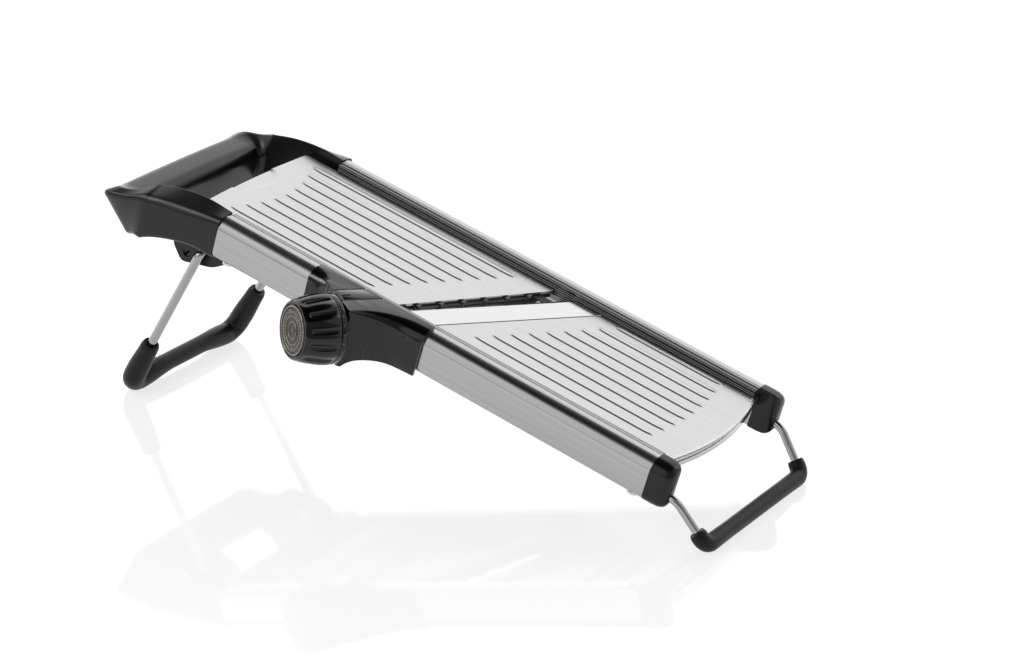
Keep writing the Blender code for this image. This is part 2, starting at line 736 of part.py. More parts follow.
def discharge_end(v):
    """The bowed end of the discharge plate."""
    return ARC_BULGE * (1 - (v / 56.0) ** 2)


def make_discharge_plate():
    half = GUIDE_IN - 0.7
    start = blade_edge(0, BLADE_WIDTH_U) + 0.5
    outline = [(start - BLADE_SLOPE * half, -half), *[(discharge_end(v), v) for v in steps(-half, half, 16)],
               (start + BLADE_SLOPE * half, half)]
    plate = extrude("discharge_plate", [outline], ALONG_W, PLATE_TOP - PLATE_THICK, PLATE_TOP)
    skirt = [(discharge_end(v), v) for v in steps(-half, half, 16)]
    skirt += [(discharge_end(v) - 1.4, v) for v in steps(half, -half, 16)]
    join(plate, extrude("skirt", [skirt], ALONG_W, PLATE_TOP - 7.6, PLATE_TOP - 0.4, CUTTERS))
    for i in range(10):
        v = (i - 4.5) * RIB_PITCH
        join(plate, rib("discharge_rib", -116.3 + BLADE_SLOPE * v, discharge_end(v) - 21.0, v))
    place(plate, BRUSHED_STEEL)


def steps(first, last, count):
    return [first + (last - first) * i / count for i in range(count + 1)]


def make_blade():
    half = GUIDE_IN - 1.2
    top, bottom = PLATE_TOP, PLATE_TOP - BLADE_THICK
    rings = []
    for v in (-half, half):
        rings.append([(blade_edge(v), v, bottom + 0.12), (blade_edge(v), v, bottom),
                      (blade_edge(v, BLADE_WIDTH_U), v, bottom), (blade_edge(v, BLADE_WIDTH_U), v, top),
                      (blade_edge(v, 3.4), v, top)])
    blade = loft("main_blade", rings, True)
    close_end(blade)
    for side in (-1, 1):
        spot = blade_screw_spot(side)
        cut(blade, rod("blade_hole", (*spot, bottom - 2), (*spot, bottom + 0.7), 1.8, CUTTERS, 16))
    place(blade, POLISHED_STEEL)


def close_end(obj):
    work = bmesh.new()
    work.from_mesh(obj.data)
    bmesh.ops.holes_fill(work, edges=[e for e in work.edges if e.is_boundary])
    bmesh.ops.recalc_face_normals(work, faces=work.faces)
    work.to_mesh(obj.data)
    work.free()


def blade_screw_spot(side):
    v = side * 43.0
    return blade_edge(v, BLADE_WIDTH_U - 5.0), v


def make_blade_bed():
    half = GUIDE_IN - 0.9
    front, back = 11.0, BLADE_WIDTH_U + 8.0
    corners = [(blade_edge(-half, front), -half, 0.5), (blade_edge(-half, back), -half, 0.5),
               (blade_edge(half, back), half, 0.5), (blade_edge(half, front), half, 0.5)]
    top = PLATE_TOP - PLATE_THICK - GAP
    bed = extrude("blade_bed", [rounded(corners, 2)], ALONG_W, top - 2.6, top)
    for side in (-1, 1):
        spot = blade_screw_spot(side)
        cut(bed, rod("bed_hole", (*spot, -20), (*spot, -2), 1.8, CUTTERS, 16))
        make_screw(f"blade_screw_{'near' if side < 0 else 'far'}", (*spot, top - 2.6 - GAP - 1.6),
                   (*spot, PLATE_TOP - BLADE_THICK + 0.4), 3.0, 1.5, 1.6)
    place(bed, BRUSHED_STEEL)


def comb_strip(name, near, far, low, high):
    """A strip along the run plate's lower edge, from near to far past it."""
    corners = [(run_edge(COMB_FROM) + near, COMB_FROM), (run_edge(COMB_FROM) + far, COMB_FROM),
               (run_edge(COMB_TO) + far, COMB_TO), (run_edge(COMB_TO) + near, COMB_TO)]
    return extrude(name, [corners], ALONG_W, low, high)


def make_comb():
    """The julienne teeth and the bar that carries them, lowered into the slot by the blade."""
    bar = comb_strip("julienne_bar", 0.5, 2.5, -11.0, -8.0)
    place(bar, SATIN_BLACK, PLATE_PIVOT)
    comb = comb_strip("julienne_comb", 0.7, 2.1, -7.7, -6.6)
    pitch = (COMB_TO - COMB_FROM - 4) / (COMB_TEETH - 1)
    for i in range(COMB_TEETH):
        v = COMB_FROM + 2 + i * pitch
        u = run_edge(v)
        join(comb, box("tooth", (u + 0.9, v - 1.5, -7.2), (u + 2.9, v + 1.5, -5.2), CUTTERS))
    place(comb, POLISHED_STEEL, PLATE_PIVOT)


# ---------------------------------------------------------------- thickness adjuster

def make_housing():
    face = axis_point(HOUSING_FACE)
    left, right = face - AXIS_SIDE * 19.2, face + AXIS_SIDE * 11.6
    corners = [(-228.5, -RAIL_IN, 0.3), (-229.5, -68.9, 2), (left.x, left.y, 1), (right.x, right.y, 3),
               (-173.0, -71.5, 10), (-150.0, -69.3, 0.5), (-150.0, -RAIL_IN, 0.3)]
    housing = extrude("adjuster_housing", [rounded(corners, 3)], ALONG_W, HOUSING_LOW, HOUSING_TOP)
    bevel(housing, 1.6, 2, 60)
    cut(housing, housing_underside(), rail_envelope(), TUNNEL, index_pocket())
    cut(housing, housing_hollow())
    smooth(housing)
    place(housing, GLOSS_BLACK)


def rail_envelope():
    """The rail's outline with clearance, open downwards so that the housing slips over it."""
    corners = [(RAIL_IN - 6, GAP, 0.5), (RAIL_OUT + GAP, GAP, 8.2),
               (RAIL_OUT + GAP, -60, 0.5), (RAIL_IN - 6, -60, 0.5)]
    return extrude("rail_envelope", [side_loop(corners, -1)], ALONG_U, -260, -120, CUTTERS)


def housing_underside():
    """Below the rail's bottom only the block behind the knob is left, with a hollowed curve to it."""
    corners = [(-145, -26.5, 0.5), (-172, -26.5, 8), (-186, -31.0, 6), (-196, -60, 0.5), (-145, -60, 0.5)]
    return extrude("underside", [rounded(corners, 5)], ALONG_V, 40, 130, CUTTERS)


def housing_hollow():
    """The block is moulded hollow from below."""
    start, end = axis_point(29), axis_point(40)
    centre = (start + end) / 2 * MM
    turn = Matrix.Rotation(-KNOB_ANGLE, 4, "Z")
    matrix = Matrix.Translation((centre.x, centre.y, -29.5 * MM)) @ turn
    return primitive("hollow", matrix, CUTTERS, "box", size=Vector((17, 8, 14)) * MM)


def index_loop(shrink):
    """The inlay between the housing's two dark lines, which carries the thickness index."""
    centre = axis_point(HOUSING_FACE)
    ends = []
    for across, along in ((-9.5, 1.8), (-1.0, 1.8), (-1.0, 19.5), (-9.5, 15.0)):
        spot = centre + AXIS_SIDE * across + AXIS_DIR * along
        ends.append(Vector((spot.x, spot.y)))
    middle = sum(ends, Vector((0, 0))) / 4
    return [(*(p + (middle - p).normalized() * shrink), 0) for p in ends]


def index_pocket():
    floor = HOUSING_TOP - INDEX_DEPTH
    return extrude("index_pocket", [rounded(index_loop(0))], ALONG_W, floor, HOUSING_TOP + 3, CUTTERS)


def make_index():
    floor = HOUSING_TOP - INDEX_DEPTH + GAP
    strip = extrude("index_strip", [rounded(index_loop(0.5))], ALONG_W, floor, HOUSING_TOP + 0.2)
    place(strip, GLOSS_BLACK)


def make_knob():
    profile = [(0, 0.8), (14.9, 0.8), (15.3, 0.0), (16.4, 0.2), (KNOB_FRONT_R, 1.4),
               (KNOB_REAR_R - 0.3, KNOB_LENGTH - 3), (KNOB_REAR_R, KNOB_LENGTH - 1.2),
               (KNOB_REAR_R - 1.4, KNOB_LENGTH), (16.0, KNOB_LENGTH),
               (15.0, KNOB_LENGTH - 12), (6.0, KNOB_LENGTH - 12),
               (6.0, KNOB_LENGTH - 1), (0, KNOB_LENGTH - 1)]
    knob = turned("thickness_knob", profile, KNOB_FACE, 36)
    for i in range(KNOB_FLUTES):
        angle = 2 * math.pi * i / KNOB_FLUTES
        out = AXIS_SIDE * math.cos(angle) + Vector((0, 0, math.sin(angle)))
        start = axis_point(4) + out * (KNOB_FRONT_R + 1.2)
        end = axis_point(KNOB_LENGTH - 4.5) + out * (KNOB_REAR_R + 0.8)
        cut(knob, rod("flute", start, end, 1.9, CUTTERS, 8))
    cut(knob, rod("knob_bore", axis_point(-3), axis_point(40), SHAFT_R + GAP, CUTTERS, 16),
        rod("knob_counterbore", axis_point(-3), axis_point(4.5), 4.2, CUTTERS, 20))
    smooth(knob)
    place(knob, GLOSS_BLACK, KNOB_AXIS)
    face = rod("knob_face", axis_point(-0.3), axis_point(0.5), 14.4, segments=40)
    bevel(face, 0.25, 1)
    place(face, KNOB_METAL, KNOB_AXIS)
    make_screw("knob_screw", axis_point(1.0), axis_point(4.4), 3.6, 1.6, 1.4, KNOB_AXIS)


def make_scale_ring():
    ring = rod("scale_ring", axis_point(KNOB_LENGTH + 0.3), axis_point(HOUSING_FACE - 0.3), 18.6, segments=40)
    cut(ring, rod("ring_bore", axis_point(20), axis_point(30), 6.0, CUTTERS))
    place(ring, SATIN_BLACK)


def cam_lift(v):
    """How far a cam must let the plate down at this place for the plate's whole tilt."""
    return (axis_at(v).x - PLATE_HINGE.x) * math.sin(PLATE_DROP)


def make_cam(name, v):
    """A disc cam whose radius falls evenly over half a turn and rises over the rest."""
    lift = cam_lift(v)
    loop = []
    count = 36
    for i in range(count):
        turn = 2 * math.pi * i / count
        share = 1 - abs(turn / math.pi - 1)
        radius = CAM_MIN_R + lift * (1 - share)
        loop.append((radius * math.sin(turn), radius * math.cos(turn)))
    bore = SHAFT_R + GAP
    hole = [(bore * math.cos(math.pi * i / 8), bore * math.sin(math.pi * i / 8)) for i in range(16)]
    plane = Matrix((tuple(AXIS_SIDE), (0, 0, 1), tuple(-AXIS_DIR))).transposed().to_4x4()
    centre = axis_at(v)
    plane = Matrix.Translation(centre * MM) @ plane
    cam = extrude(name, [loop, hole], plane, -CAM_WIDTH / 2, CAM_WIDTH / 2)
    smooth(cam, 25)
    place(cam, SATIN_BLACK, KNOB_AXIS)


def make_shaft():
    shaft = rod("adjuster_shaft", axis_point(4.8), axis_at(51.5), SHAFT_R, segments=20)
    place(shaft, CHROME, KNOB_AXIS)
    bush = rod("shaft_bush", axis_point(HOUSING_FACE + 1), axis_point(HOUSING_FACE + 12),
               TUNNEL_R - GAP, segments=24)
    cut(bush, rod("bush_bore", axis_point(20), axis_point(60), SHAFT_R + GAP, CUTTERS, 20))
    place(bush, SATIN_BLACK)
    spot = axis_at(50)
    bearing = box("far_bearing", (spot.x - 8, 46.5, AXIS_W - 5.5),
                  (spot.x + 8, RAIL_IN - GAP, AXIS_W + 4.6))
    cut(bearing, rod("bearing_bore", axis_at(40), axis_at(52), SHAFT_R + GAP, CUTTERS, 20))
    place(bearing, SATIN_BLACK)


# ---------------------------------------------------------------- the whole slicer

def stand_on_origin():
    """Shift the deck so that the origin is the middle of the object's footprint box."""
    bpy.context.view_layer.update()
    graph = bpy.context.evaluated_depsgraph_get()
    spots = []
    for obj in PARTS.objects:
        if obj.type == "MESH":
            shape = obj.evaluated_get(graph)
            spots += [shape.matrix_world @ vert.co for vert in shape.data.vertices]
    for axis in (0, 1):
        low, high = (pick(s[axis] for s in spots) for pick in (min, max))
        DECK.location[axis] -= (low + high) / 2


def main():
    mirrored("{}_rail", make_rail)
    mirrored("{}_guide", make_guide)
    make_ties()
    make_handle()
    mirrored("{}_end_cap", make_cap)
    for side, word in ((-1, "near"), (1, "far")):
        for kind, u in (("handle", HANDLE_SCREW_U), ("cap", CAP_SCREW_U)):
            make_screw(f"{kind}_screw_{word}", (u, side * SCREW_V, -RAIL_DEPTH - GAP - 1.5),
                       (u, side * SCREW_V, -17), 3.4, 1.5, 1.5)
        make_screw(f"lug_screw_{word}", (LUG_SCREW_U, side * LUG_MID, -22.0),
                   (LUG_SCREW_U, side * LUG_MID, -12.0), 2.4, 1.4, 1.2)
    make_foot()
    make_stand()
    mirrored("stand_lug_{}", make_lug)
    make_run_plate()
    make_carrier()
    mirrored("plate_hinge_{}", make_hinge_block)
    rod_end = RAIL_IN + 3
    pivot = rod("plate_hinge_rod", PLATE_HINGE - Vector((0, rod_end, 0)),
                PLATE_HINGE + Vector((0, rod_end, 0)), 1.5, segments=16)
    place(pivot, CHROME)
    make_discharge_plate()
    make_blade()
    make_blade_bed()
    make_comb()
    make_housing()
    make_index()
    make_knob()
    make_scale_ring()
    make_cam("lift_cam_near", NEAR_CAM_V)
    make_cam("lift_cam_far", FAR_CAM_V)
    make_shaft()
    stand_on_origin()


main()
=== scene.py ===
"""Looks of the mandoline slicer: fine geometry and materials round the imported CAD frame.

Pieces are drawn in the deck frame, in millimetres: u runs down the deck to its discharge end, v runs
across it away from the knob, w is the deck's normal, with 0 at the rails' top faces and lower ends.
"""
import math

import bmesh
import bpy
from mathutils import Matrix, Vector


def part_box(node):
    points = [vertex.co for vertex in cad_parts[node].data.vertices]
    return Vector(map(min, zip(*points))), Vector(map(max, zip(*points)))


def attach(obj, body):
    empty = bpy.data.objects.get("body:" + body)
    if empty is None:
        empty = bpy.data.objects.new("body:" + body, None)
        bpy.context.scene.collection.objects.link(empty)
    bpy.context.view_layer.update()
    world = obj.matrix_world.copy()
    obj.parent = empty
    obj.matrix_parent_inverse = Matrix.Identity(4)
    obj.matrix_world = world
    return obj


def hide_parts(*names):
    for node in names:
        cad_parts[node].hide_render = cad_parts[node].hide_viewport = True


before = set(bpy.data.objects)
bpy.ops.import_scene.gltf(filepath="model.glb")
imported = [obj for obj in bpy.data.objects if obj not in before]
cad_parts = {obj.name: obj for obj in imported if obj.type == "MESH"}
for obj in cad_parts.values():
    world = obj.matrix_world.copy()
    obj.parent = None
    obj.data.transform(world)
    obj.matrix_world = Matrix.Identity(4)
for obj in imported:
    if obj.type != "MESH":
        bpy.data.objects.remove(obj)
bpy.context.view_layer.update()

# ---------------------------------------------------------------- the deck frame, from the CAD's own boxes
MM = 0.001
GAP = 0.3
TILT = math.radians(15.5)
RAIL_DEPTH = 25.3
NEAR_LOW, NEAR_HIGH = (Vector(c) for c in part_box("near_rail"))
FAR_HIGH = Vector(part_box("far_rail")[1])
ORIGIN = Vector((NEAR_HIGH.x, (NEAR_LOW.y + FAR_HIGH.y) / 2, NEAR_LOW.z + RAIL_DEPTH * MM * math.cos(TILT)))
DECK = Matrix.Translation(ORIGIN) @ Matrix.Rotation(TILT, 4, "Y")
DECK_MM = DECK @ Matrix.Scale(MM, 4)

# ---------------------------------------------------------------- sizes, as in the CAD model
RAIL_LENGTH, RAIL_IN, RAIL_OUT, RAIL_WALL = 294.2, 55.0, 67.1, 1.2
GUIDE_IN, GUIDE_DEPTH = 51.6, 12.0
PLATE_TOP, PLATE_THICK, PLATE_HALF = -4.6, 1.5, 50.6
RUN_PLATE_END, RUN_EDGE_MID, RUN_EDGE_SLOPE = -319.0, -159.1, 0.485
BLADE_EDGE_MID, BLADE_SLOPE, BLADE_WIDTH_U, BLADE_THICK = -151.4, 0.55, 20.6, 1.2
RIB_PITCH, RIB_HEIGHT, RIB_HALF, RIB_FLANK, RIB_NOSE = 10.27, 0.45, 1.75, 1.1, 7.0
RUN_RIBS, RUN_RIB_START, RUN_RIB_END, RUN_RIB_SLOPE = 9, -305.0, -179.2, 0.52
DISCHARGE_RIBS, DISCHARGE_RIB_START, DISCHARGE_RIB_END = 10, -116.3, 21.0
THUMB_V, THUMB_HALF, THUMB_REACH, THUMB_DEPTH = -3.0, 19.5, 11.0, 0.8
ARC_BULGE = 8.5
KNOB_ANGLE = math.radians(30.0)
AXIS_DIR = Vector((math.sin(KNOB_ANGLE), math.cos(KNOB_ANGLE), 0.0))
AXIS_SIDE = Vector((math.cos(KNOB_ANGLE), -math.sin(KNOB_ANGLE), 0.0))
AXIS_W = -17.3
KNOB_FACE = Vector((-211.6, -102.9, AXIS_W))
KNOB_LENGTH, KNOB_FRONT_R, KNOB_REAR_R = 24.4, 17.2, 20.2
KNOB_FLUTES, KNOB_BARS, KNOB_BAR_R, RIM_TICKS = 12, 40, 10.7, 24
TUNNEL_R = 5.2
HOUSING_FACE, HOUSING_TOP, HOUSING_LOW, HOUSING_REACH = 25.6, 1.5, -34.5, 49.0
STAND_PIVOT = Vector((-307.7, 0.0, -32.6))
STAND_LEAN = math.radians(15.7)
STAND_LEG, STAND_KNEE, STAND_TOP_V, STAND_FOOT_V = 113.13, 77.5, 57.3, 51.5
WIRE_R, SLEEVE_R, FOOT_SWELL, BAR_ARCH = 2.7, 5.6, 1.18, 3.5
FOOT_WIRE_R, FOOT_SLEEVE_R, FOOT_V, WIRE_W = 2.4, 4.9, 60.6, -18.6
FOOT_BAR, FOOT_NARROW = (39.8, -37.4), 0.925
CAP_LENGTH = 14.2


# ---------------------------------------------------------------- materials

class Nodes:
    """A small helper that builds a Principled material node by node."""

    def __init__(self, name, color, metallic, roughness, **more):
        self.material = bpy.data.materials.new(name)
        self.material.use_nodes = True
        self.tree = self.material.node_tree
        self.shader = self.tree.nodes["Principled BSDF"]
        self.set(base_color=(*color, 1.0), metallic=metallic, roughness=roughness, **more)
        self.coords = self.tree.nodes.new("ShaderNodeTexCoord").outputs["Object"]

    def set(self, **sockets):
        for key, value in sockets.items():
            self.shader.inputs[key.replace("_", " ").title().replace("Ior", "IOR")].default_value = value

    def link(self, output, socket):
        self.tree.links.new(output, self.shader.inputs[socket])

    def mapped(self, scale):
        """Coordinates turned into the deck frame, then scaled along u, v and w."""
        turn = self.tree.nodes.new("ShaderNodeMapping")
        turn.vector_type = "POINT"
        turn.inputs["Rotation"].default_value = (0, -TILT, 0)
        self.tree.links.new(self.coords, turn.inputs["Vector"])
        stretch = self.tree.nodes.new("ShaderNodeMapping")
        stretch.inputs["Scale"].default_value = scale
        self.tree.links.new(turn.outputs["Vector"], stretch.inputs["Vector"])
        return stretch.outputs["Vector"]

    def noise(self, scale, stretch=(1, 1, 1), detail=4.0):
        made = self.tree.nodes.new("ShaderNodeTexNoise")
        made.inputs["Scale"].default_value = scale
        made.inputs["Detail"].default_value = detail
        self.tree.links.new(self.mapped(stretch), made.inputs["Vector"])
        return made.outputs["Fac"]

    def ramp(self, source, low, high):
        """Spread a noise's usual range, 0.3 to 0.7, over low to high."""
        made = self.tree.nodes.new("ShaderNodeMapRange")
        made.inputs["From Min"].default_value = 0.3
        made.inputs["From Max"].default_value = 0.7
        made.inputs["To Min"].default_value = low
        made.inputs["To Max"].default_value = high
        self.tree.links.new(source, made.inputs["Value"])
        return made.outputs["Result"]

    def colors(self, source, one, other):
        made = self.tree.nodes.new("ShaderNodeMix")
        made.data_type = "RGBA"
        made.inputs["A"].default_value = (*one, 1.0)
        made.inputs["B"].default_value = (*other, 1.0)
        self.tree.links.new(source, made.inputs["Factor"])
        return made.outputs["Result"]

    def bump(self, source, strength, distance):
        made = self.tree.nodes.new("ShaderNodeBump")
        made.inputs["Strength"].default_value = strength
        made.inputs["Distance"].default_value = distance
        self.tree.links.new(source, made.inputs["Height"])
        self.link(made.outputs["Normal"], "Normal")


def brushed(name, color, roughness, grain=(6, 700, 700), depth=0.00001, spread=0.1):
    """Steel with a fine grain along the deck: long streaks in roughness, colour and relief."""
    steel = Nodes(name, color, 1.0, roughness)
    streaks = steel.noise(1.0, grain, 3.0)
    steel.link(steel.ramp(streaks, roughness - spread / 2, roughness + spread / 2), "Roughness")
    dark = tuple(c * 0.88 for c in color)
    steel.link(steel.colors(steel.ramp(streaks, 0, 1), dark, color), "Base Color")
    steel.bump(streaks, 0.25, depth)
    return steel.material


def polished(name, color, roughness):
    """Bright metal with only faint smears in its roughness."""
    metal = Nodes(name, color, 1.0, roughness)
    smears = metal.noise(60.0, (1, 1, 1), 3.0)
    metal.link(metal.ramp(smears, roughness * 0.8, roughness * 1.5), "Roughness")
    return metal.material


def moulded(name, color, roughness, grain, depth, coat=0.0, shine=0.35):
    """Moulded plastic or rubber with a fine texture and slight unevenness of gloss."""
    plastic = Nodes(name, color, 0.0, roughness, coat_weight=coat, coat_roughness=0.06,
                    specular_ior_level=shine)
    fine = plastic.noise(grain, (1, 1, 1), 2.0)
    broad = plastic.noise(35.0, (1, 1, 1), 3.0)
    plastic.link(plastic.ramp(broad, roughness * 0.9, roughness * 1.12), "Roughness")
    lighter = tuple(min(1.0, c * 1.25) for c in color)
    plastic.link(plastic.colors(plastic.ramp(broad, 0, 1), color, lighter), "Base Color")
    plastic.bump(fine, 0.2, depth)
    return plastic.material


RAIL = brushed("rail_brushed_steel", (0.42, 0.42, 0.42), 0.24, (6, 700, 700), 0.000006, 0.06)
PLATE = brushed("plate_brushed_steel", (0.52, 0.52, 0.52), 0.31, (8, 900, 900), 0.000005, 0.06)
GUIDE = brushed("guide_dark_steel", (0.16, 0.16, 0.16), 0.2, (6, 700, 700), 0.000004, 0.06)
BLADE = polished("blade_polished_steel", (0.54, 0.54, 0.55), 0.14)
CHROME = polished("chrome_wire", (0.36, 0.36, 0.37), 0.10)
COMB = polished("comb_dull_steel", (0.10, 0.09, 0.082), 0.4)
SCREWS = polished("screw_steel", (0.62, 0.62, 0.62), 0.25)
SATIN = moulded("satin_black_plastic", (0.004, 0.004, 0.0046), 0.27, 1800.0, 0.000015)
CAP = moulded("cap_black_plastic", (0.003, 0.003, 0.0035), 0.2, 1500.0, 0.000008)
GLOSS = moulded("gloss_black_plastic", (0.002, 0.002, 0.0024), 0.1, 900.0, 0.000003, 0.25, 0.3)
RUBBER = moulded("black_rubber", (0.007, 0.007, 0.0085), 0.42, 1400.0, 0.00003, 0.0, 0.2)
INNER = moulded("inner_black_plastic", (0.015, 0.015, 0.016), 0.5, 1500.0, 0.00002)


def knob_metal(name, dark, light):
    """Turned metal with fine specks; its rings and bars come from the mesh."""
    metal = Nodes(name, light, 1.0, 0.34)
    specks = metal.noise(700.0, (1, 1, 1), 3.0)
    metal.link(metal.ramp(specks, 0.28, 0.42), "Roughness")
    metal.link(metal.colors(metal.ramp(specks, 0, 1), dark, light), "Base Color")
    metal.bump(specks, 0.2, 0.00001)
    return metal.material


KNOB_METAL = knob_metal("knob_turned_metal", (0.045, 0.040, 0.036), (0.11, 0.10, 0.09))
KNOB_LIGHT = knob_metal("knob_raised_metal", (0.20, 0.18, 0.16), (0.32, 0.29, 0.26))
MARK = moulded("gray_print", (0.2, 0.2, 0.195), 0.5, 1500.0, 0.000002)


# ---------------------------------------------------------------- outlines and paths

def rounded(corners, parts=8):
    """Round each corner (x, y, trim) of an outline by a circular arc that starts trim before it."""
    points = []
    count = len(corners)
    for i, (x, y, trim) in enumerate(corners):
        here = Vector((x, y))
        if trim == 0:
            points.append(here)
            continue
        before = (Vector(corners[i - 1][:2]) - here).normalized() * trim
        after = (Vector(corners[(i + 1) % count][:2]) - here).normalized() * trim
        points += arc(here, before, after, parts)
    return points


def arc(here, before, after, parts):
    """The points of the circular arc that rounds a corner, as a rational quadratic curve."""
    weight = math.sin(before.angle(after) / 2)
    points = []
    for part in range(parts + 1):
        t = part / parts
        a, b, c = (1 - t) ** 2, 2 * t * (1 - t) * weight, t ** 2
        points.append((a * (here + before) + b * here + c * (here + after)) / (a + b + c))
    return points


def rounded_path(corners, parts):
    """The same for an open 3-D path of (point, trim); its two ends stay where they are."""
    points = [corners[0][0]]
    for (last, _), (here, trim), (coming, _) in zip(corners, corners[1:], corners[2:]):
        points += arc(here, (last - here).normalized() * trim, (coming - here).normalized() * trim, parts)
    return points + [corners[-1][0]]


def steps(first, last, count):
    return [first + (last - first) * i / count for i in range(count + 1)]


def smoothstep(low, high, x):
    t = min(1.0, max(0.0, (x - low) / (high - low)))
    return t * t * (3 - 2 * t)


# ---------------------------------------------------------------- meshes in the deck frame

def link(obj):
    bpy.context.scene.collection.objects.link(obj)
    return obj


def mesh_object(name, work):
    mesh = bpy.data.meshes.new(name)
    work.to_mesh(mesh)
    work.free()
    return link(bpy.data.objects.new(name, mesh))


def prism(name, loops, plane, low, high):
    """A flat outline, with holes if it has several loops, given depth from low to high."""
    data = bpy.data.curves.new(name, "CURVE")
    data.dimensions = "2D"
    data.fill_mode = "BOTH"
    data.extrude = (high - low) / 2
    for loop in loops:
        spline = data.splines.new("POLY")
        spline.points.add(len(loop) - 1)
        for point, spot in zip(spline.points, loop):
            point.co = (spot[0], spot[1], 0, 1)
        spline.use_cyclic_u = True
    curve = link(bpy.data.objects.new(name, data))
    curve.matrix_world = plane @ Matrix.Translation((0, 0, (low + high) / 2))
    return from_curve(curve)


def from_curve(curve):
    bpy.context.view_layer.update()
    mesh = bpy.data.meshes.new_from_object(curve.evaluated_get(bpy.context.evaluated_depsgraph_get()))
    work = bmesh.new()
    work.from_mesh(mesh)
    bmesh.ops.remove_doubles(work, verts=work.verts, dist=0.001)
    work.transform(curve.matrix_world)
    bmesh.ops.recalc_face_normals(work, faces=work.faces)
    name = curve.name
    bpy.data.objects.remove(curve, do_unlink=True)
    bpy.data.meshes.remove(mesh)
    return mesh_object(name, work)


ALONG_U = Matrix(((0, 0, 1, 0), (1, 0, 0, 0), (0, 1, 0, 0), (0, 0, 0, 1)))     # outline in (v, w)
ALONG_W = Matrix()                                                            # outline in (u, v)
ALONG_V = Matrix(((1, 0, 0, 0), (0, 0, -1, 0), (0, 1, 0, 0), (0, 0, 0, 1)))    # outline in (u, w)


def tube(name, path, radius, radii, resolution):
    data = bpy.data.curves.new(name, "CURVE")
    data.dimensions = "3D"
    data.bevel_depth = radius
    data.bevel_resolution = resolution
    data.use_fill_caps = True
    spline = data.splines.new("POLY")
    spline.points.add(len(path) - 1)
    for i, (point, spot) in enumerate(zip(spline.points, path)):
        point.co = (*spot, 1)
        point.radius = radii[i] if radii else 1.0
    return from_curve(link(bpy.data.objects.new(name, data)))


def rod(name, start, end, radius, segments=32):
    start, end = Vector(start), Vector(end)
    turn = (end - start).to_track_quat("Z", "Y").to_matrix().to_4x4()
    work = bmesh.new()
    bmesh.ops.create_cone(work, cap_ends=True, segments=segments, radius1=radius, radius2=radius,
                          depth=(end - start).length)
    work.transform(Matrix.Translation((start + end) / 2) @ turn)
    return mesh_object(name, work)


def box(name, low, high):
    low, high = Vector(low), Vector(high)
    work = bmesh.new()
    bmesh.ops.create_cube(work, size=1.0)
    work.transform(Matrix.Translation((low + high) / 2) @ Matrix.Diagonal((*(high - low), 1.0)))
    return mesh_object(name, work)


def lathe(name, profile, start, segments, ripple=None):
    """A closed turned solid: (radius, depth behind the knob's face), from axis to axis."""
    work = bmesh.new()
    start = Vector(start)
    rings = []
    for radius, depth in profile:
        centre = start + AXIS_DIR * depth
        if radius == 0:
            rings.append([work.verts.new(centre)])
            continue
        ring = []
        for i in range(segments):
            angle = 2 * math.pi * i / segments
            r = radius + (ripple(radius, depth, angle) if ripple else 0.0)
            out = AXIS_SIDE * math.cos(angle) + Vector((0, 0, math.sin(angle)))
            ring.append(work.verts.new(centre + out * r))
        rings.append(ring)
    for one, other in zip(rings, rings[1:]):
        for i in range(segments):
            j = (i + 1) % segments
            quad = [one[i % len(one)], one[j % len(one)], other[j % len(other)], other[i % len(other)]]
            unique = list(dict.fromkeys(quad))
            if len(unique) > 2:
                work.faces.new(unique)
    bmesh.ops.recalc_face_normals(work, faces=work.faces)
    return mesh_object(name, work)


def loft(name, rings):
    """A closed solid through rings of points."""
    work = bmesh.new()
    layers = [[work.verts.new(p) for p in ring] for ring in rings]
    for one, other in zip(layers, layers[1:]):
        for i in range(len(one)):
            j = (i + 1) % len(one)
            work.faces.new((one[i], one[j], other[j], other[i]))
    work.faces.new(layers[0])
    work.faces.new(layers[-1])
    bmesh.ops.recalc_face_normals(work, faces=work.faces)
    return mesh_object(name, work)


def bevel(obj, width, segments=3, angle=35):
    made = obj.modifiers.new("edges", "BEVEL")
    made.width = width
    made.segments = segments
    made.angle_limit = math.radians(angle)
    made.harden_normals = False
    return bake(obj)


def boolean(obj, operation, *others):
    for other in others:
        made = obj.modifiers.new("cut", "BOOLEAN")
        made.operation = operation
        made.object = other
        made.solver = "EXACT"
    bake(obj)
    for other in others:
        bpy.data.objects.remove(other, do_unlink=True)
    return obj


def cut(obj, *others):
    return boolean(obj, "DIFFERENCE", *others)


def join(obj, *others):
    return boolean(obj, "UNION", *others)


def bake(obj):
    """Put the modifiers' result into the mesh."""
    bpy.context.view_layer.update()
    mesh = bpy.data.meshes.new_from_object(obj.evaluated_get(bpy.context.evaluated_depsgraph_get()))
    obj.modifiers.clear()
    obj.data = mesh
    return obj


def finish_piece(obj, look, body, stands_for=(), angle=35):
    """Move a drawn piece from the deck frame into the world and hang it on its body."""
    obj.data.transform(DECK_MM)
    obj.data.materials.clear()
    obj.data.materials.append(look)
    obj.data.shade_smooth()
    obj.data.set_sharp_from_angle(angle=math.radians(angle))
    obj.data.update()
    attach(obj, body)
    if stands_for:
        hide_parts(*stands_for)
    return obj


def side_loop(corners, side, count=8):
    return [(x * side, y) for x, y in rounded(corners, count)]


def sides():
    return ((-1, "near"), (1, "far"))


def axis_point(distance):
    return KNOB_FACE + AXIS_DIR * distance


def axis_at(v):
    return axis_point((v - KNOB_FACE.y) / AXIS_DIR.y)


# ---------------------------------------------------------------- rails and guides

